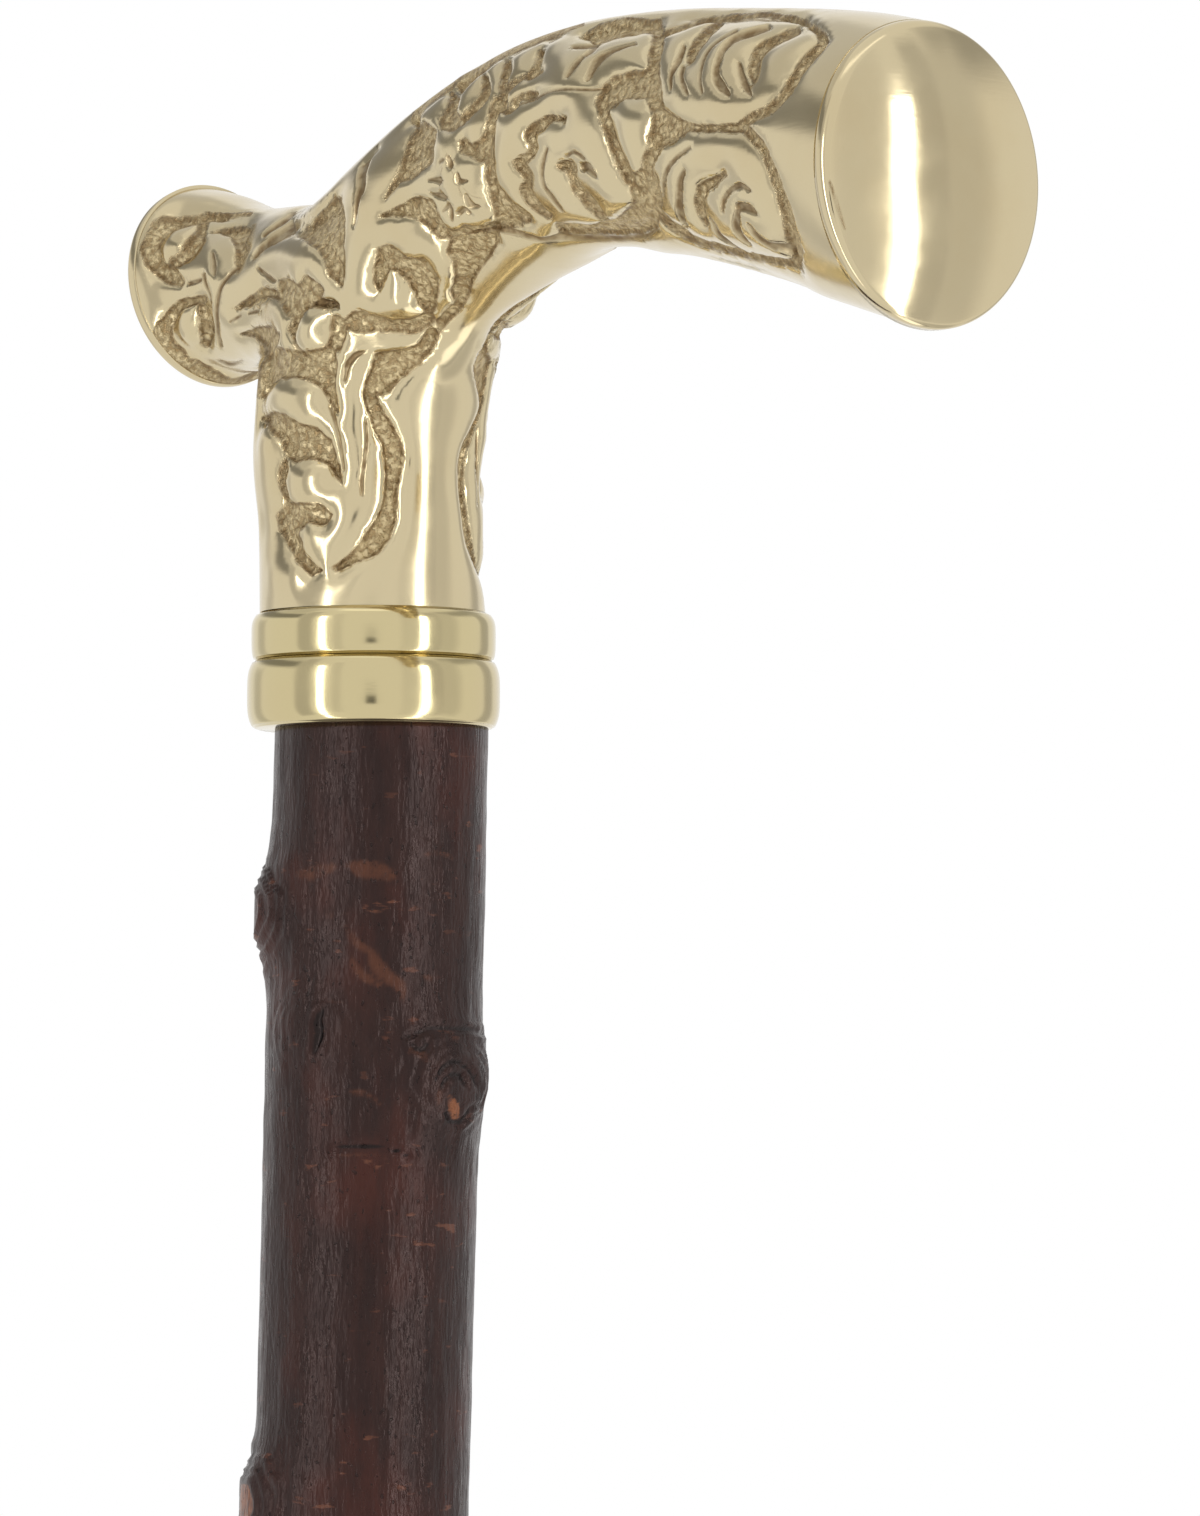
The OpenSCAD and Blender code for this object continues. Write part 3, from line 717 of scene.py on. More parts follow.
        [(585, 60, 1.5), (577, 70, 2), (571, 79, 1)],
        [(512, 106, 0.8), (535, 97, 1), (560, 92, 1), (590, 90, 1), (600, 87, 1)],
        # scroll
        [(549, 148, 0.8), (545, 158, 1.3), (543, 170, 1.4), (545, 183, 1.5), (555, 198, 1.6),
         (563, 209, 0.8)],
        [(565, 157, 1), (575, 152, 1.5), (586, 158, 1.5)],
        [(584, 167, 4.5), (590, 167, 4), (598, 176, 1)],
        [(470, 237, 1.5), (500, 233, 1.5), (530, 236, 1.5), (560, 239, 1.5), (600, 241, 1.5),
         (640, 240, 1.5), (655, 232, 1)],
        [(355, 225, 1), (360, 200, 2.5), (364, 188, 3), (366, 175, 3), (372, 160, 2.5), (380, 150, 2)],
        # flower
        [(430, 180, 0.6), (437, 179.5, 2), (443, 180, 3)],
        [(431, 194, 0.8), (439, 195, 2.5), (446, 196, 3.5)],
        [(461, 173, 1), (463, 180, 2.5), (470, 180, 1)],
        [(442, 162, 1), (446, 160, 1.5)],
        [(450, 156, 0.8), (453, 166, 2.2)],
        [(445, 210, 0.8), (452, 204, 2.2)],
        [(454, 219, 1.2), (453, 207, 2)],
        [(461, 212, 2.2), (466, 208, 2.2), (471, 212, 1.5)],
        [(469, 194, 1.2), (473, 204, 2.4), (480, 206, 1)],
        [(446, 167, -0.4), (443.5, 178, -0.4), (443.5, 190, -0.4), (448, 200, -0.4), (457, 206, -0.4),
         (464, 205, -0.4), (466, 197, -0.4), (463, 186, -0.4), (458, 174, -0.4), (452, 168, -0.4)],
        [(454, 168, -0.4), (456, 158, -0.4), (463, 152, -0.4)],
        [(467, 186, -0.4), (474, 194, -0.4), (483, 198, -0.4)],
        # tail
        [(215, 255, 1.3), (217, 268, 1.5), (218, 276, 0.8)],
        [(207, 276, 1.5), (209, 290, 1.5), (212, 300, 0.8)],
        [(188, 284, 1.5), (197, 282, 2), (203, 280, 1)],
        [(220, 360, 1), (230, 363, 1.8), (243, 358, 1)],
        [(243, 250, 1.3), (232, 270, 1.3), (225, 285, 1.3), (220, 300, 1.2), (218, 330, 1.2),
         (222, 345, 1)],
        [(250, 313, 1), (260, 311, 1.6)],
        [(232, 321, 0.8), (240, 316, 1.2)],
        [(262, 270, 1.5), (272, 280, 2)],
        [(255, 258, 2), (275, 245, 2.5), (295, 228, 3), (315, 210, 3), (330, 198, 3)],
        [(268, 240, 1.2), (288, 225, 1.3), (306, 208, 1.3), (320, 196, 1.2)],
        # neck
        [(300, 308, 2), (315, 303, 3), (330, 305, 2.5), (337, 308, 1.5)],
        [(294, 318, 2), (291, 335, 2), (298, 355, 2.5)],
        [(345, 380, 1.5), (348, 365, 2.8), (356, 355, 2.8), (364, 352, 1.2)],
        [(366, 420, 1), (367, 440, 1.6), (365, 460, 1.6), (362, 480, 1.8), (363, 496, 1)],
        [(330, 408, 1), (337, 425, 1.5), (341, 445, 1.5), (344, 470, 1)],
    ],
    "ridges": [
        [(213, 275, 0), (215, 300, 0), (216, 345, 0)],
        [(436, 238, 0), (446, 252, 0), (454, 262, 0), (456, 275, 0), (453, 290, 0), (457, 304, 0)],
        [(430, 240, 1), (440, 254, 3), (443, 268, 3), (442, 285, 2), (439, 305, 1)],
        [(438, 205, 2), (444, 218, 3), (458, 226, 3), (478, 223, 3), (490, 212, 2)],
        [(315, 390, 0), (325, 415, 0), (335, 440, 0), (342, 470, 0), (345, 490, 0)],
        [(350, 345, 0), (338, 380, 0), (338, 410, 0), (345, 440, 0), (347, 480, 0)],
        [(325, 465, 0), (335, 480, 0), (340, 500, 0), (340, 520, 0), (333, 535, 0), (330, 560, 0)],
        [(380, 347, 0), (400, 347, 0), (420, 348, 0)],
        [(262, 240, 0), (280, 228, 1), (296, 214, 1), (310, 204, 0), (326, 192, 0)],
        [(264, 250, 0), (282, 234, 1), (300, 218, 1), (318, 206, 0), (336, 193, 0)],
        [(268, 259, 0), (284, 250, 1), (298, 238, 1), (310, 244, 0), (318, 256, 0), (326, 274, 0)],
        [(165, 250, 0), (172, 256, 0), (182, 250, 0), (195, 236, 0)],
        [(422, 128, 0), (423, 119, 0), (428, 112, 0), (436, 105, 0), (446, 98, 0)],
        [(459, 116, 0), (462, 104, 0), (467, 93, 0), (476, 83, 0), (487, 75, 0), (498, 66, 0),
         (510, 59, 0)],
        [(515, 65, 0), (523, 56, 0), (533, 50, 0), (545, 45, 0)],
        [(547, 57, 0), (553, 49, 0), (563, 40, 0), (574, 34, 0)],
    ],
    # smooth ground beside the carving that keeps its even curve
    "plain": [
        [(742, 125), (763, 148), (780, 190), (792, 235), (800, 266), (830, 300), (900, 150), (880, 0),
         (800, 0), (828, 44), (808, 66), (790, 95), (771, 112)],
        [(435, 338), (420, 360), (398, 380), (380, 398), (400, 440), (402, 490), (394, 535), (372, 560),
         (345, 580), (345, 612), (500, 612), (500, 330)],
    ],
    "bosses": [  # x, y, half width, half height, turn in degrees, share of the full height
        (633, 130, 18, 30, 0, 0.5), (308, 331, 13, 20, 0, 1), (454, 189, 9, 19, -16, 0.4),
        (446, 150, 13, 13, 0, 0.4), (470, 171, 13, 20, -25, 0.4), (477, 190, 10, 10, 0, 0.3),
        (180, 242, 15, 13, -30, 1), (190, 328, 11, 19, -15, 1), (398, 298, 17, 19, -20, 1),
        (293, 408, 27, 27, 0, 1), (308, 486, 23, 25, 0, 1), (312, 540, 11, 17, 0, 1),
        (291, 575, 18, 21, 0, 1), (270, 440, 8, 18, 0, 1), (292, 518, 5, 5, 0, 1), (310, 513, 9, 9, 0, 1),
        (325, 510, 5, 5, 0, 1), (303, 557, 6, 6, 0, 1), (314, 568, 6, 6, 0, 1), (295, 532, 5, 5, 0, 1),
        (328, 214, 3, 8, 20, 1), (331, 240, 4, 8, 10, 1), (333, 264, 4, 8, 0, 1),
    ],
}


def grains(p, scale, start):  # lattice noise at a scale, from a start of its own
    return latticeNoise(p * scale + start)


# height of the relief, and the gaps to matted ground and to cut lines, in millimetres; the drawing is read
# where each point, or its mirror image, falls in the picture
def reliefOn(p, n, skin):
    flip = np.where(p[:, 1] > 0, -1.0, 1.0)[:, None] * np.array([0, 1, 0]) + np.array([1, 0, 1])
    near, out = p * flip, n * flip
    toEye = eye - near
    facing = (out * toEye).sum(1) / np.linalg.norm(toEye, axis=1)
    shown, matted = smoothStep(*relief["facing"], facing), smoothStep(*relief["matFacing"], facing)
    at = pictureOf(near - out * (relief["sink"] * shown)[:, None])
    scale = view["perMm"]
    ground = nearestGap(at, relief["channels"])
    for corners in relief["patches"]:
        ground = np.minimum(ground, patchGap(at, corners))
    line, cut, lobe = np.full(len(p), farGap), np.zeros(len(p)), np.zeros(len(p))
    for stroke in relief["cuts"]:
        gap = strokeGap(at, stroke)
        line = np.minimum(line, gap)
        wide = max(row[2] for row in stroke)
        deep = relief["cutDepth"] + relief["cutPerWidth"] * wide
        cut = np.maximum(cut, deep * smoothStep(*relief["cutEdge"], gap))
        fullPoints, fullWide = relief["fullCut"]  # shorter and finer cuts leave the leaf round them level
        broad = min(1.0, len(stroke) / fullPoints) * min(1.0, wide / fullWide)
        lobe = np.maximum(lobe, broad * np.exp(-np.maximum(gap, 0) / relief["lobeReach"]))
    ridge, boss = np.zeros(len(p)), np.zeros(len(p))
    for stroke in relief["ridges"]:
        ridge = np.maximum(ridge, np.exp(-(strokeGap(at, stroke) / relief["ridgeReach"])**2))
    for x, y, rx, ry, turn, full in relief["bosses"]:
        c, s = math.cos(math.radians(turn)), math.sin(math.radians(turn))
        dx, dy = at[:, 0] - x, at[:, 1] - y
        share = ((dx * c + dy * s) / rx)**2 + ((dy * c - dx * s) / ry)**2
        boss = np.maximum(boss, full * np.sqrt(np.clip(1 - share, 0, 1)))
    hidden = relief["hidden"] * (1 - shown)
    line, cut = line / scale + hidden, cut * shown
    raised = shown * (relief["bossHeight"] * boss + relief["ridgeHeight"] * ridge)
    coarse, fine = grains(p, *relief["coarse"]), grains(p, *relief["fine"])
    ground = ground / scale
    edge = smoothStep(*relief["ragEdge"], np.abs(ground))
    ground += relief["rag"] * (1.2 * coarse + 0.8 * fine - 1.0) * edge
    look, ground = ground + relief["hidden"] * (1 - matted), ground + hidden
    edge = relief["shoulder"] / scale
    sunk = smoothStep(edge, -edge, ground)
    gap = np.maximum(ground, 0) * scale
    swell = relief["domeDepth"] * np.clip(1 - gap / relief["domeReach"], 0, 1)**2
    swell += relief["lobeDepth"] * lobe * shown
    plain, soft = np.zeros(len(p)), relief["plainEdge"]
    for corners in relief["plain"]:
        plain = np.maximum(plain, shown * smoothStep(soft, -soft, patchGap(at, corners)))
    swell *= 1 - (1 - relief["plainShare"]) * plain
    height = -evened(skin, swell - raised, relief["soften"])
    height -= relief["groundDepth"] * sunk + relief["edgeDepth"] * np.exp(-gap / relief["edgeReach"]) + cut
    height += relief["lumps"] * (0.5 * coarse + fine - 0.75) * sunk
    return height, look, line


def makeHandle():  # the skin moved along its normals by the relief, which dies out at the three cuts
    skin = castingMesh()
    p = pointsOf(skin)
    _, n = castingField(p)
    height, ground, line = reliefOn(p, n, skin)
    rim = np.full(len(p), farGap)
    for place, out, fade in cutEnds:
        off = np.abs((p - place) @ out) / fade
        near = np.linalg.norm(p - place, axis=1) < handle["endReach"]
        rim = np.where(near, np.minimum(rim, off), rim)
    p = p + n * (height * smoothStep(0.0, 1.0, rim))[:, None]
    skin.vertices.foreach_set("co", (p * mm).ravel())
    skin.polygons.foreach_set("use_smooth", np.ones(len(skin.polygons), bool))
    sharpen(skin, handle["sharpAt"])
    dressPiece("handle_relief", skin, carvedBrass, "handle_casting",
               {"groundGap": ground, "lineGap": line})


makeHandle()


# End caps: oval domes soldered into the mouths of the casting

caps = {"nose": {"dome": 2.4, "rise": 0.03, "soft": 0.9, "turn": handle["noseTurn"],
                 "node": "nose_cap", "name": "nose_plate"},
        "tail": {"dome": 2.0, "rise": 0.0, "soft": 0.0, "turn": 0.0,
                 "node": "tail_cap", "name": "tail_plate"},
        "flatten": 0.5, "plug": 3.0, "plugLess": 1.92, "seam": 0.008, "chamfer": 0.015, "round": 0.9,
        "softAt": -40.0, "rimSteps": 9, "rings": 34, "sides": 192, "sharpAt": 50,
        # gap left in the solder line, in the picture's units
        "solder": [(829, 180, 0.6), (834, 194, 1.3), (839, 212, 1.5), (845, 230, 0.7)]}


# lift = dome * (1 - v^2 - u^2 * r^flatten) * (1 + rise * u), inside a rim that is rounded most at softAt
def capMesh(name, row, cap):
    plug, band, seam, chamfer = caps["plugLess"], handle["capBand"], caps["seam"], caps["chamfer"]
    q = np.linspace(0, 2 * np.pi, caps["sides"], endpoint=False)
    soft = 1 + cap["soft"] * np.clip(np.cos(q - math.radians(caps["softAt"])), 0, 1)**2
    drop = caps["round"] * soft
    half = np.array(row[3:5])
    t = np.linspace(0, np.pi / 2 - math.atan(2 * cap["dome"] / half[1]), caps["rimSteps"])[:, None]
    back = np.array([(plug, -caps["plug"]), (plug, -band), (seam + chamfer, -band), (seam, chamfer - band)])
    rimIn = np.vstack([np.repeat(back[:, :1], len(q), 1), seam + drop * (1 - np.cos(t))])
    rimUp = np.vstack([np.repeat(back[:, 1:], len(q), 1), drop * (np.sin(t) - 1)])
    out, tall, across = endAxes(row, cap["turn"])
    mid, oval = np.array([row[0], 0, row[1]]), np.stack([half[0] * np.cos(q), half[1] * np.sin(q)], 1)
    border = mid - out * drop[:, None] + oval[:, :1] * tall + oval[:, 1:] * across
    rimIn[2:] += castingField(border)[0]  # flush with the casting
    share = 1 - np.linspace(0, 1, caps["rings"] + 1)[1:-1, None]
    u, v = share * np.cos(q), share * np.sin(q)
    face = cap["dome"] * (1 - v**2 - u**2 * share**caps["flatten"]) * (1 + cap["rise"] * u)
    face += rimUp[-1] * share**2
    up = np.vstack([(half[0] - rimIn) * np.cos(q), (half[0] - rimIn[-1]) * u])
    side = np.vstack([(half[1] - rimIn) * np.sin(q), (half[1] - rimIn[-1]) * v])
    lift = np.vstack([rimUp, face])
    grid = mid + out * lift[..., None] + tall * up[..., None] + across * side[..., None]
    mesh = meshOf(name, *closedTube(grid))
    sharpen(mesh, caps["sharpAt"])
    return mesh


for end, row in (("nose", barRows[-1]), ("tail", tailRows[-1])):
    cap = caps[end]
    mesh = capMesh(cap["name"], row, cap)
    p = pointsOf(mesh)
    line = np.where(p[:, 1] < 0, strokeGap(pictureOf(p), caps["solder"]) / view["perMm"], farGap)
    gaps = {"groundGap": np.full(len(p), farGap), "lineGap": line}
    dressPiece(cap["name"], mesh, plateBrass, cap["node"], gaps)


# Turned rings: barrel outlines, radius = edge + (widest - edge) * (1 - |s|^4), turned round the stick

rings = {"bore": 9.1, "power": 4, "steps": 26, "turns": 192, "sharpAt": 60,
         "lip": 0.25, "lipIn": (1.4, 0.4), "lipUp": 0.35,  # height of the lip, and its corners as shares
         "neck": {"low": levels["joint"], "high": levels["neck"], "widest": 26.3, "lowEdge": 25.7,
                  "topEdge": 24.6, "node": "neck_ring", "name": "neck_band"},
         "collar": {"low": levels["shoulder"], "high": levels["joint"], "widest": 27.2, "lowEdge": 25.8,
                    "topEdge": 25.8, "node": "shaft_collar", "name": "collar_band"}}


def ringMesh(ring):
    s = np.sin(np.linspace(-np.pi / 2, np.pi / 2, rings["steps"]))
    edge = np.where(s < 0, ring["lowEdge"], ring["topEdge"])
    r = (edge + (ring["widest"] - edge) * (1 - np.abs(s)**rings["power"])) / 2
    bottom, top, bore, lip = ring["low"], ring["high"], rings["bore"], rings["lip"]
    z = bottom + (top - bottom) * (s + 1) / 2
    outer = np.stack([r, np.clip(z, bottom + lip, top - lip)], 1)[1:-1]
    deep, near = (lip * share for share in rings["lipIn"])
    rise = lip * rings["lipUp"]
    low = [[bore, bottom], [r[0] - deep, bottom], [r[0] - near, bottom + rise]]
    high = [[r[-1] - near, top - rise], [r[-1] - deep, top], [bore, top]]
    mesh = meshOf(ring["name"], *revolved(np.vstack([low, outer, high]), rings["turns"]))
    sharpen(mesh, rings["sharpAt"])
    return mesh


for ring in (rings["neck"], rings["collar"]):
    dressPiece(ring["name"], ringMesh(ring), turnedBrass, ring["node"])


# Blackthorn shaft: taper, crook and cut thorn stubs, with bark relief worked into the radius

shaft = {"topAcross": 23.0, "footAcross": 20.2, "seatAcross": 19.0, "length": 832.0, "taperPower": 1.5,
         "crook": 2.9, "crookWaves": 1.29, "crookStart": 160.0, "crookHeading": 54.0,
         "sway": 0.55, "swayWaves": 1.0, "settle": 0.16,
         "thornHeight": 1.7, "thornLength": 3.6, "thornSpread": 24.0, "cutAt": 0.80, "cutEdge": (-0.02, 0.03),
         # depth down the shaft, heading, size and cut face of each stub as shares
         "topThorns": [(0.0238, 234, 0.95, 0.0), (0.0391, 293, 0.35, 0.0), (0.0454, 15, 1.0, 0.0),
                       (0.0996, 249, 0.95, 0.8)],
         "moreThorns": {"count": 19, "first": 0.148, "last": 0.95, "stray": 0.011, "turn": 137.5,
                        "sizes": (0.75, 0.35), "faces": (0.6, 0.3)},
         # how a stub frays at its foot, and the depth, count and reach of the folds round it
         "fray": (0.75, 0.5), "frayRadius": 11, "frayScale": 0.55,
         "foldDepth": 0.16, "foldCount": 34, "foldFrom": (0.12, 0.4), "foldTo": (0.9, 0.75),
         # bark ridges: depth, scale on each axis and start of the noise
         "skin": [(0.34, (0.22, 0.22, 0.05), 31), (0.09, (0.75, 0.75, 0.07), 7), (0.08, (0.9, 0.9, 0.4), 57)],
         "columns": 224, "fineRows": 205, "fineDepth": 92.0, "moreRows": 236,
         "samples": 4000, "crowding": 2.2, "crowdReach": 8.0,
         # height of the bark's end over the tip, and of the first and last rings inside it
         "barkEnd": 0.2, "seatLip": 0.3, "footLip": 0.6}


def thornList():  # height up the stick, heading, size share and cut face share of every stub
    more = shaft["moreThorns"]
    i = np.arange(more["count"])
    turn = np.radians(i * more["turn"])
    depth = more["first"] + (more["last"] - more["first"]) * i / (more["count"] - 1)
    depth += more["stray"] * np.sin(2 * turn)
    size = more["sizes"][0] + more["sizes"][1] * np.sin(turn)
    face = more["faces"][0] + more["faces"][1] * np.cos(turn)
    later = np.stack([depth, np.degrees(turn), size, face], 1)
    every = np.vstack([shaft["topThorns"], later])
    every[:, 0] = levels["shoulder"] - every[:, 0] * shaft["length"]
    return every


thorns = thornList()


def shaftRows():  # heights of the rings: even and close under the collar, then closer near each stub
    high, low = levels["shoulder"] - shaft["fineDepth"], levels["tipTop"] + shaft["barkEnd"]
    z = np.linspace(high, low, shaft["samples"])
    weight = 1 + shaft["crowding"] * np.exp(-((z[:, None] - thorns[:, 0]) / shaft["crowdReach"])**2).sum(1)
    way = np.concatenate([[0], np.cumsum((weight[1:] + weight[:-1]) / 2)])
    lower = np.interp(np.linspace(0, way[-1], shaft["moreRows"]), way, z)
    upper = np.linspace(levels["shoulder"], lower[0], shaft["fineRows"])[:-1]
    mouth, foot = levels["tipTop"], levels["woodFoot"]
    seat = [mouth, mouth - shaft["seatLip"], foot + shaft["footLip"], foot]
    return np.concatenate([upper, lower, seat])[::-1]


barkMarks = {  # marks on the near side of the bark in the picture's units
    "slits": [[(322, 1010, 1.2), (317, 1020, 3.8), (318, 1034, 4.6), (315, 1046, 2.6), (313, 1054, 1)],
              [(330, 1149, 0.8), (350, 1146, 1.2), (372, 1147, 1.5), (395, 1150, 1.2), (410, 1157, 0.8)],
              [(408, 1036, 1.0), (430, 1029, 1.8), (455, 1027, 1.8), (486, 1034, 1.0)],
              [(414, 1046, 2.0), (422, 1050, 2.5), (430, 1042, 1.2)],
              [(436, 1082, 1.0), (444, 1068, 2.0), (456, 1062, 2.0), (470, 1070, 1.2), (478, 1086, 1)],
              [(440, 1094, 1.0), (446, 1080, 1.6), (458, 1074, 2.2), (466, 1084, 1.4)],
              [(446, 1112, 1.0), (452, 1122, 2.2), (462, 1122, 1.6), (470, 1110, 1.2)]],
    "rust": [[(345, 925, 3), (356, 942, 5), (370, 952, 4), (378, 966, 8), (398, 985, 8), (405, 1000, 3)],
             [(352, 960, 3), (362, 975, 5), (378, 985, 4)],
             [(298, 874, 6), (318, 872, 9), (335, 866, 4)],
             [(345, 866, 5), (372, 870, 11), (392, 876, 6)],
             [(440, 1090, 3), (438, 1105, 4), (444, 1118, 2)],
             [(412, 1050, 5), (422, 1056, 6), (430, 1062, 3)],
             [(320, 1158, 1.2), (350, 1155, 2.0), (390, 1157, 2.2), (410, 1162, 1.5)],
             [(308, 1002, 1.5), (326, 1000, 2.5), (344, 1003, 1.5)],
             [(328, 916, 3), (346, 914, 2)], [(350, 1092, 2), (368, 1094, 4), (380, 1104, 2)],
             [(425, 977, 2), (434, 979, 3), (443, 978, 1.5)],
             [(420, 856, 1.5), (440, 852, 3), (452, 858, 1.5)]],
    "faces": [[(450, 1098, 3), (453, 1106, 6), (455, 1115, 4)]],
    "slitEdge": (2.0, -1.5), "rustEdge": (5.0, -5.0), "faceEdge": (2.0, -2.0), "facing": (0.05, 0.2),
    "slitDepth": 0.5, "lipHeight": 0.16, "lipAt": 4.5, "lipReach": 2.6,
}


# ring at height z: middle(z) + radius(z, heading) * outward, with masks for cut wood, slits and rust
def shaftSurface():
    z = shaftRows()
    q = np.linspace(0, 2 * np.pi, shaft["columns"], endpoint=False)
    s = (levels["shoulder"] - z) / shaft["length"]
    fade = smoothStep(0, 1, (1 - s) / shaft["settle"])
    waves = math.radians(shaft["crookStart"]) + 2 * np.pi * shaft["crookWaves"] * s
    lengthways = shaft["crook"] * np.sin(waves) * fade
    sideways = shaft["crook"] * shaft["sway"] * np.sin(2 * np.pi * shaft["swayWaves"] * s) * fade
    h = math.radians(shaft["crookHeading"])
    midX = lengthways * math.cos(h) - sideways * math.sin(h)
    midY = lengthways * math.sin(h) + sideways * math.cos(h)
    drop = np.clip((levels["shoulder"] - z) / (levels["shoulder"] - levels["tipTop"]), 0, 1)
    drop = drop**shaft["taperPower"]
    radius = (shaft["topAcross"] + (shaft["footAcross"] - shaft["topAcross"]) * drop) / 2
    bark = z > levels["tipTop"] + shaft["barkEnd"] / 2
    radius = np.where(bark, radius, shaft["seatAcross"] / 2)
    zz, qq = np.meshgrid(z, q, indexing="ij")
    swell, cut = np.zeros_like(zz), np.zeros_like(zz)
    tube = np.stack([shaft["frayRadius"] * np.cos(qq), shaft["frayRadius"] * np.sin(qq), zz], -1)
    rough = grains(tube.reshape(-1, 3), shaft["frayScale"], 19).reshape(zz.shape)
    spread = shaft["fray"][0] + shaft["fray"][1] * rough
    for height, heading, share, face in thorns:
        turn = np.mod(np.degrees(qq) - heading + 180, 360) - 180
        far = ((zz - height) / shaft["thornLength"])**2 / 2 + (turn / shaft["thornSpread"])**2 / 2
        e = np.exp(-far * spread)
        folds = shaft["foldDepth"] * share * np.sin(e * shaft["foldCount"])
        folds = folds * smoothStep(*shaft["foldFrom"], e) * smoothStep(*shaft["foldTo"], e)
        swell = np.maximum(swell, shaft["thornHeight"] * share * np.minimum(e / shaft["cutAt"], 1.0) + folds)
        rim = 1 - (1 - shaft["cutAt"]) * face
        inner, outer = (rim + step for step in shaft["cutEdge"])
        cut = np.maximum(cut, smoothStep(inner, outer, e) * (face > 0))
    flat = np.stack([np.cos(qq), np.sin(qq), np.zeros_like(qq)], -1).reshape(-1, 3)
    barrel = flat * radius.mean() + np.stack([np.zeros(zz.size)] * 2 + [zz.ravel()], 1)
    ridges = sum(depth * (grains(barrel, scale, start) - 0.5) for depth, scale, start in shaft["skin"])
    total = radius[:, None] + np.where(bark[:, None], swell + ridges.reshape(zz.shape), 0)
    grid = np.stack([midX[:, None] + total * np.cos(qq), midY[:, None] + total * np.sin(qq), zz], -1)
    p = grid.reshape(-1, 3)
    shown = smoothStep(*barkMarks["facing"], flat @ -eyeAhead)
    at = pictureOf(p)
    slit, rust, face = (nearestGap(at, barkMarks[key]) for key in ("slits", "rust", "faces"))
    lip = shown * np.exp(-((slit - barkMarks["lipAt"]) / barkMarks["lipReach"])**2)
    slit = shown * smoothStep(*barkMarks["slitEdge"], slit)
    rust = shown * smoothStep(*barkMarks["rustEdge"], rust)
    cut = np.maximum(cut.ravel(), shown * smoothStep(*barkMarks["faceEdge"], face))
    p = p + flat * (barkMarks["lipHeight"] * lip - barkMarks["slitDepth"] * slit)[:, None]
    masks = {"cutWood": cut, "slit": slit, "rust": rust}
    ends = np.zeros(2)  # the middle points of the two end fans
    return p.reshape(grid.shape), {key: np.concatenate([mask, ends]) for key, mask in masks.items()}


barkLook = {"dark": (0.013, 0.0058, 0.0050), "brown": (0.025, 0.0098, 0.0076), "red": (0.055, 0.0130, 0.0078),
            "lenticel": (0.125, 0.046, 0.026), "cut": (0.24, 0.085, 0.034), "slit": (0.004, 0.003, 0.003),
            "rust": (0.088, 0.031, 0.016), "shine": 0.32, "tint": (1.0, 0.76, 0.72), "bump": 0.0002,
            # noise scales round and along the stick
            "streaks": (420.0, 420.0, 80.0), "clouds": (110.0, 110.0, 60.0), "dashes": (240.0, 240.0, 760.0),
            "mottles": (420.0, 420.0, 260.0), "grains": (1500.0, 1500.0, 700.0),
            "nicks": (1900.0, 1900.0, 1100.0), "fibres": (900.0, 900.0, 160.0),
            "pebbles": (2500.0, 2500.0, 900.0)}


# dark bark with brown streaks and red clouds, then lenticels, rust, sawn faces, slits and nicks over it
def barkMaterial():
    mat, tree, shader = newMaterial("varnishedBark")
    links = tree.links
    place = ownPlace(tree)
    streak = streaks(tree, place, barkLook["streaks"], 6.0, 0.65)
    cloud = streaks(tree, place, barkLook["clouds"], 4.0)
    colour = blendColours(tree, span(tree, streak, 0.38, 0.68), barkLook["dark"], barkLook["brown"])
    red = times(tree, span(tree, cloud, 0.48, 0.70, 0.0, 0.7), span(tree, streak, 0.3, 0.6, 0.5, 1.0))
    colour = blendColours(tree, red, colour, barkLook["red"])
    dash = streaks(tree, place, barkLook["dashes"])
    lenticel = times(tree, span(tree, dash, 0.64, 0.71), span(tree, cloud, 0.4, 0.6, 0.3, 0.9))
    colour = blendColours(tree, lenticel, colour, barkLook["lenticel"])
    mottle = streaks(tree, place, barkLook["mottles"], 5.0, 0.65)
    rust = attribute(tree, "rust")
    flaky = span(tree, maths(tree, "ADD", rust, times(tree, mottle, 2.6)), 1.55, 2.35)
    flaky = times(tree, times(tree, flaky, rust), span(tree, mottle, 0.3, 0.6, 0.35, 0.9))
    colour = blendColours(tree, flaky, colour, barkLook["rust"])
    grain = streaks(tree, place, barkLook["grains"])
    sawn = blendColours(tree, span(tree, grain, 0.35, 0.65), barkLook["cut"], barkLook["rust"])
    colour = blendColours(tree, span(tree, attribute(tree, "cutWood"), 0.3, 0.8), colour, sawn)
    colour = blendColours(tree, span(tree, attribute(tree, "slit"), 0.25, 0.8), colour, barkLook["slit"])
    nick = span(tree, streaks(tree, place, barkLook["nicks"], 1.0), 0.67, 0.75)
    colour = blendColours(tree, times(tree, nick, 0.6), colour, barkLook["slit"])
    links.new(colour, shader.inputs["Base Color"])
    fibre = streaks(tree, place, barkLook["fibres"])
    pebble = streaks(tree, place, barkLook["pebbles"], 2.0, 0.5)
    links.new(span(tree, mottle, 0.3, 0.7, 0.24, 0.38), shader.inputs["Roughness"])
    height = maths(tree, "ADD", fibre, times(tree, pebble, 0.4))
    height = maths(tree, "ADD", height, times(tree, lenticel, 0.15))
    height = maths(tree, "SUBTRACT", height, times(tree, nick, 0.5))
    links.new(bumped(tree, height, barkLook["bump"]), shader.inputs["Normal"])
    shader.inputs["Specular IOR Level"].default_value = barkLook["shine"]
    shader.inputs["Specular Tint"].default_value = (*barkLook["tint"], 1)
    return mat


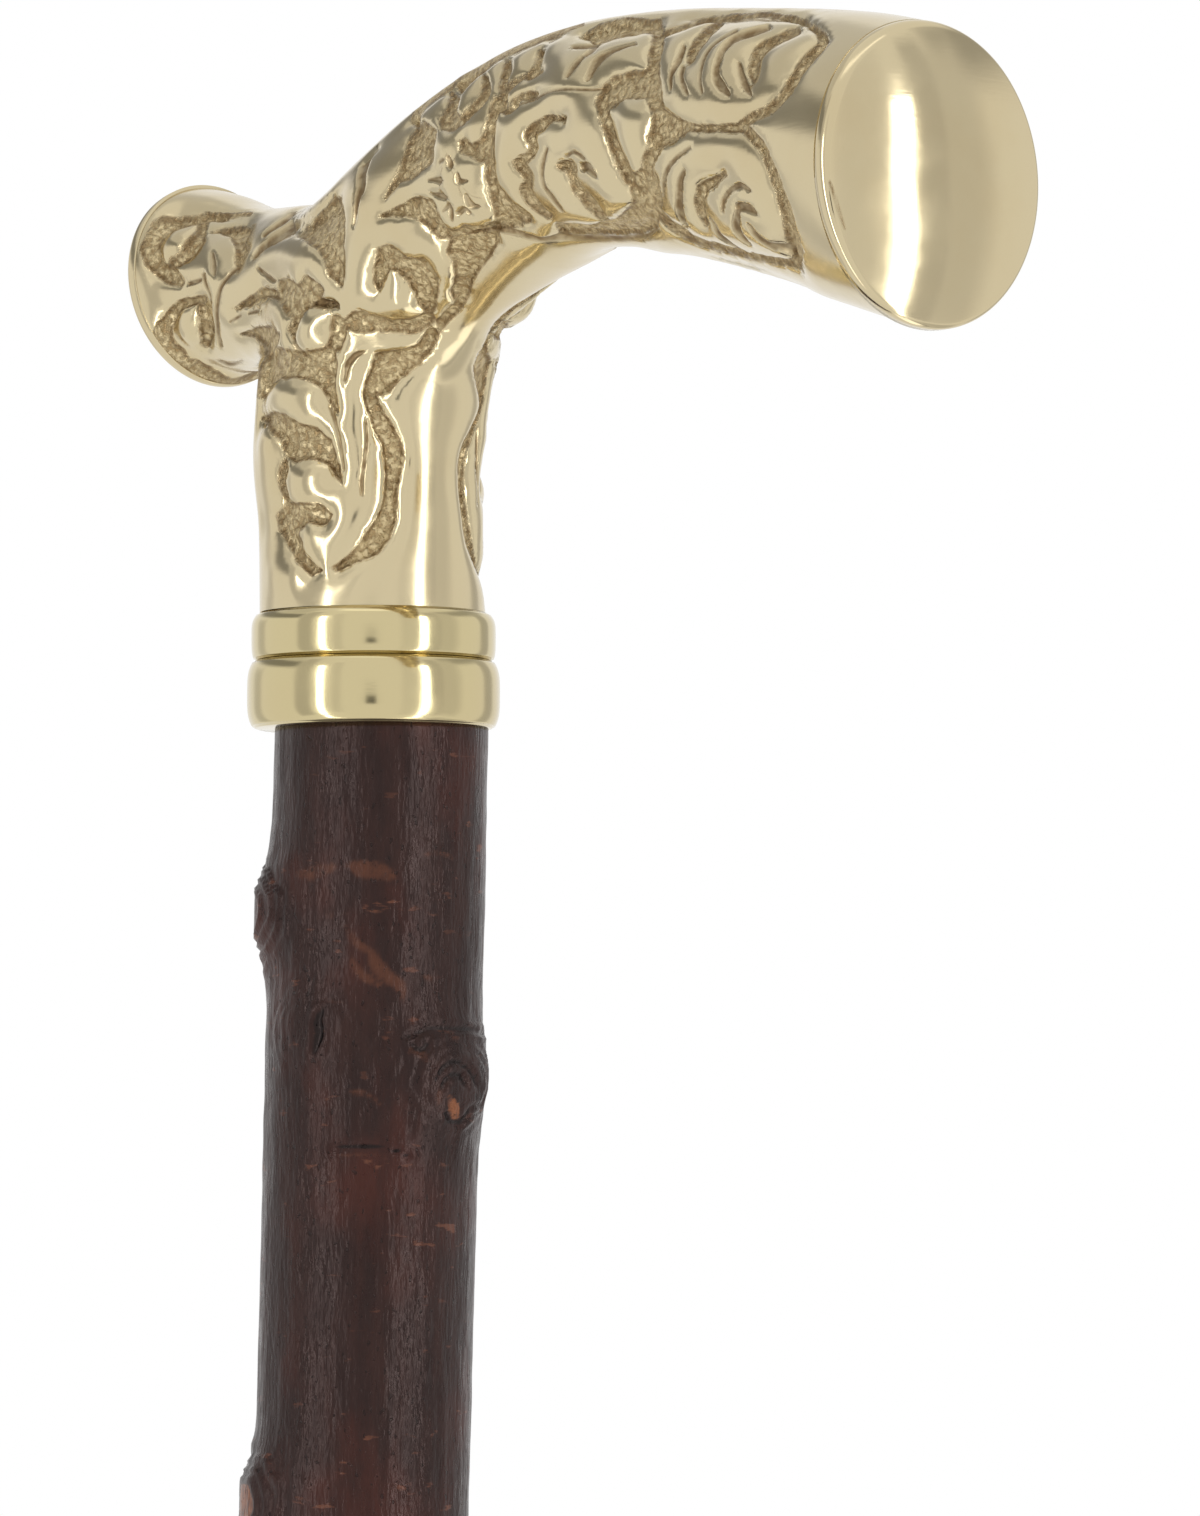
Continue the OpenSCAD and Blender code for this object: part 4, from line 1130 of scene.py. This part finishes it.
bark = barkMaterial()
grid, masks = shaftSurface()
dressPiece("bark_shaft", meshOf("bark_shaft", *closedTube(grid)), bark, "shaft", masks)


# Rubber tip: a ribbed barrel on a flared foot with a ringed tread

tip = {"foot": 33.0, "band": 7.0, "flare": 9.0, "barrel": 25.4, "bead": 27.4, "beadHeight": 4.0,
       "socket": 19.2, "floor": 8.5, "core": 0.02, "ribs": 3, "rib": 0.9, "ribMargins": (1.5, 1.0),
       "treads": (0.42, 0.7), "tread": 1.6, "treadDepth": 0.8, "treadFloor": 0.7, "cornerSteps": 5,
       "turns": 160}
rubberLook = {"black": (0.013, 0.013, 0.014), "dusty": (0.040, 0.038, 0.036),
              "mottleScale": 260.0, "dustScale": 45.0, "grainScale": 2200.0, "grainDepth": 0.00012}


def tipOutline():  # corners as (radius, height, rounding), up the outside to the mouth and down the socket
    foot, barrel, bead, mouth = (tip[key] / 2 for key in ("foot", "barrel", "bead", "socket"))
    top, band, rib, core = levels["tipTop"], tip["band"], tip["rib"], tip["core"]
    knee, neck = band + tip["flare"], top - tip["beadHeight"]
    corners = [(core, 0.0, 0.0)]
    for share in tip["treads"]:
        r, w, deep = share * foot, tip["tread"] / 2, tip["tread"] * tip["treadDepth"]
        base = w * tip["treadFloor"]
        corners += [(r - w, 0.0, 0.25), (r - base, deep, 0.35), (r + base, deep, 0.35), (r + w, 0.0, 0.25)]
    corners += [(foot - 0.3, 0.0, 0.9), (foot, band - 0.6, 1.0), (foot - 0.9, band + 0.8, 1.4),
                (barrel + 0.4, knee, 3.0)]
    low, high = knee + tip["ribMargins"][0], neck - tip["ribMargins"][1]
    for i in range(tip["ribs"]):
        z = low + (high - low) * (i + 1) / (tip["ribs"] + 1)
        corners += [(barrel, z - rib, 0.3), (barrel - rib, z, 0.7), (barrel, z + rib, 0.3)]
    corners += [(barrel, neck - 0.6, 0.6), (bead, neck, 0.8), (bead, top, 1.2), (mouth, top, 0.4),
                (mouth, tip["floor"], 0.3), (core, tip["floor"], 0.0)]
    return rounded(corners, tip["cornerSteps"])


def rubberMaterial():
    mat, tree, shader = newMaterial("blackRubber")
    place = ownPlace(tree)
    mottle = noise(tree, place, rubberLook["mottleScale"], 4.0)
    dust = span(tree, noise(tree, place, rubberLook["dustScale"]), 0.45, 0.75, 0.0, 0.6)
    colour = blendColours(tree, dust, rubberLook["black"], rubberLook["dusty"])
    tree.links.new(colour, shader.inputs["Base Color"])
    tree.links.new(span(tree, mottle, 0.3, 0.7, 0.48, 0.68), shader.inputs["Roughness"])
    grain = noise(tree, place, rubberLook["grainScale"], 2.0)
    tree.links.new(bumped(tree, grain, rubberLook["grainDepth"], 0.35), shader.inputs["Normal"])
    return mat


ferrule = meshOf("ferrule", *revolved(tipOutline(), tip["turns"]))
dressPiece("ferrule", ferrule, rubberMaterial(), "rubber_tip")


# Steel stud and washer keep their CAD shape and get a turned steel finish

steelLook = {"dark": (0.42, 0.42, 0.43), "light": (0.55, 0.55, 0.56), "lathe": (60.0, 60.0, 4200.0),
             "latheDepth": 0.00003}


def steelMaterial():
    mat, tree, shader = newMaterial("turnedSteel")
    lathe = streaks(tree, ownPlace(tree), steelLook["lathe"], 2.0)
    colour = blendColours(tree, lathe, steelLook["dark"], steelLook["light"])
    tree.links.new(colour, shader.inputs["Base Color"])
    tree.links.new(span(tree, lathe, 0.3, 0.7, 0.24, 0.38), shader.inputs["Roughness"])
    tree.links.new(bumped(tree, lathe, steelLook["latheDepth"], 0.4), shader.inputs["Normal"])
    shader.inputs["Metallic"].default_value = 1.0
    return mat


steel = steelMaterial()
for node in ("joining_stud", "tip_washer"):
    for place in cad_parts[node].material_slots:
        place.material = steel


# Floor, light and world

studio = {
    # soft boxes: turn from the camera's side, width and level; distances in metres
    "strips": [(-48.5, 0.14, 6.0), (50.0, 0.17, 6.0)], "stripTall": 1.4, "stripAway": 1.25, "stripFoot": 0.03,
    # panels seen only in the metal: turn, spread, lowest and highest angle, fade and level
    "panels": [(-67.0, 22, -35, 48, 6, 0.66), (-33.0, 14, -30, 35, 6, 0.84), (62.0, 15, -35, 45, 3, 0.68),
               (74.0, 40, -35, 45, 13, 0.78), (-131.0, 24, -35, 17, 9, 0.72), (131.0, 24, -35, 36, 7, 0.60),
               (-120.0, 96, 16, 40, 8, 0.32), (-125.0, 100, 34, 64, 7, 0.74), (112.0, 90, 20, 52, 13, 0.50),
               (0.0, 110, 54, 72, 7, 1.6), (-48.5, 6.4, -64, -35, 1.2, 6.0), (50.0, 7.8, -64, -35, 1.2, 6.0),
               (36.0, 24, -40, 45, 7, 0.88), (-1.0, 11, -9, 2, 2, 0.10), (50.0, 7.6, 17, 33, 5, 2.2),
               (108.0, 84, -62, -36, 9, 0.70), (110.0, 84, -64, -57, 3, 0.42),
               (114.0, 104, -86, -62, 3, 1.9)],
    "height": 0.87, "panelAway": 1.5, "panelGrid": (25, 17), "panelFoot": 0.01,
    "behind": 0.02, "above": 0.001,  # each panel stands this far behind and above the one before
    "fill": 0.5, "floorHalf": 25.0, "floorGrey": 0.42, "floorGlow": 0.6, "floorFade": (1.5, 8.0)}


def turnAbout(degrees):  # turn about the stick in radians, from degrees counted from the camera's side
    return np.radians(view["azimuth"] - 90 + degrees)


def mirrored(tree):  # 1 for rays that come by way of a shiny or clear surface
    path = tree.nodes.new("ShaderNodeLightPath").outputs
    return maths(tree, "MAXIMUM", path["Is Glossy Ray"], path["Is Transmission Ray"])


def glowOver(tree, shader, share, level):  # the shader at share 0, a plain white glow at share 1
    glow = addNode(tree, "ShaderNodeEmission", Color=(1, 1, 1, 1), Strength=level)
    either = tree.nodes.new("ShaderNodeMixShader")
    for socket, value in zip(either.inputs, (share, shader.outputs[0], glow.outputs[0])):
        tree.links.new(value, socket)
    tree.links.new(either.outputs[0], tree.nodes["Material Output"].inputs["Surface"])


def makeLight(floor):
    shaded = bpy.data.collections.new("shaded")  # the strips stand on the floor and would burn pools into it
    shaded.objects.link(floor)
    shaded.collection_objects[0].light_linking.link_state = "EXCLUDE"
    for degrees, wide, level in studio["strips"]:
        lamp = bpy.data.lights.new("softbox", "AREA")
        lamp.shape = "RECTANGLE"
        lamp.size, lamp.size_y = wide, studio["stripTall"]
        lamp.energy = level * math.pi * wide * studio["stripTall"]
        obj = bpy.data.objects.new("softbox", lamp)
        a, away = turnAbout(degrees), studio["stripAway"]
        obj.location = (math.cos(a) * away, math.sin(a) * away, studio["stripTall"] / 2 + studio["stripFoot"])
        obj.rotation_euler = (math.pi / 2, 0, a + math.pi / 2)
        obj.visible_camera = False
        obj.light_linking.receiver_collection = shaded
        scene.collection.objects.link(obj)
    world = bpy.data.worlds.new("studio")
    scene.world = world
    world.use_nodes = True
    tree = world.node_tree
    path = tree.nodes.new("ShaderNodeLightPath").outputs
    seen = maths(tree, "MAXIMUM", path["Is Camera Ray"], mirrored(tree))
    fill = studio["fill"]
    back = tree.nodes["Background"]
    tree.links.new(blendColours(tree, seen, (fill, fill, fill), (1.0, 1.0, 1.0)), back.inputs["Color"])
    back.inputs["Strength"].default_value = 1.0


def panelMaterial(name, level):  # plain glow that fades out at the panel's edges
    mat, tree, shader = newMaterial(name)
    tree.nodes.remove(shader)
    glowOver(tree, tree.nodes.new("ShaderNodeBsdfTransparent"), attribute(tree, "cover"), level)
    return mat


# part of a cylinder round the stick, whose foot runs in along the floor; its cover falls to 0 at the border
def makePanels():
    cols, rows = studio["panelGrid"]
    j, k = np.meshgrid(np.arange(rows - 1), np.arange(cols - 1), indexing="ij")
    corner = (j * cols + k).ravel()
    faces = np.stack([corner, corner + 1, corner + cols + 1, corner + cols], 1).tolist()
    for i, (degrees, spread, lowest, highest, fade, level) in enumerate(studio["panels"]):
        turns, leans = np.linspace(-spread / 2, spread / 2, cols), np.linspace(lowest, highest, rows)
        turn, lean = np.meshgrid(turns, leans)
        a = turnAbout(degrees + turn)
        away = studio["panelAway"] + studio["behind"] * i
        rise = np.tan(np.radians(lean))
        low = studio["panelFoot"] + studio["above"] * i - studio["height"]
        away = np.where(away * rise < low, low / np.minimum(rise, -0.01), away)
        z = studio["height"] + np.maximum(away * rise, low)
        points = np.stack([away * np.cos(a), away * np.sin(a), z], -1).reshape(-1, 3)
        mesh = bpy.data.meshes.new(f"panel{i}")
        mesh.from_pydata(points.tolist(), [], faces)
        inside = np.minimum(spread / 2 - np.abs(turn), np.minimum(lean - lowest, highest - lean))
        cover = smoothStep(0.0, fade, inside).ravel().astype(np.float32)
        mesh.attributes.new("cover", "FLOAT", "POINT").data.foreach_set("value", cover)
        mesh.materials.append(panelMaterial(f"panel{i}", level))
        obj = bpy.data.objects.new(f"panel{i}", mesh)
        scene.collection.objects.link(obj)
        for ray in ("camera", "diffuse", "transmission", "shadow", "volume_scatter"):
            setattr(obj, "visible_" + ray, False)


def makeFloor():  # pale round the stick, white like the background far out
    mesh = bpy.data.meshes.new("floor")
    half, grey = studio["floorHalf"], studio["floorGrey"]
    corners = [(-half, -half, 0), (half, -half, 0), (half, half, 0), (-half, half, 0)]
    mesh.from_pydata(corners, [], [(0, 1, 2, 3)])
    mat, tree, shader = newMaterial("paleFloor")
    shader.inputs["Base Color"].default_value = (grey, grey, grey, 1)
    shader.inputs["Roughness"].default_value = 0.9
    shader.inputs["Specular IOR Level"].default_value = 0.0
    shader.inputs["Emission Color"].default_value = (1, 1, 1, 1)
    shader.inputs["Emission Strength"].default_value = studio["floorGlow"]
    reach = addNode(tree, "ShaderNodeVectorMath", operation="LENGTH")
    tree.links.new(ownPlace(tree), reach.inputs[0])
    white = maths(tree, "MAXIMUM", mirrored(tree), span(tree, reach.outputs["Value"], *studio["floorFade"]))
    glowOver(tree, shader, white, 1.0)
    mesh.materials.append(mat)
    obj = bpy.data.objects.new("floor", mesh)
    scene.collection.objects.link(obj)
    return obj


makeLight(makeFloor())
makePanels()
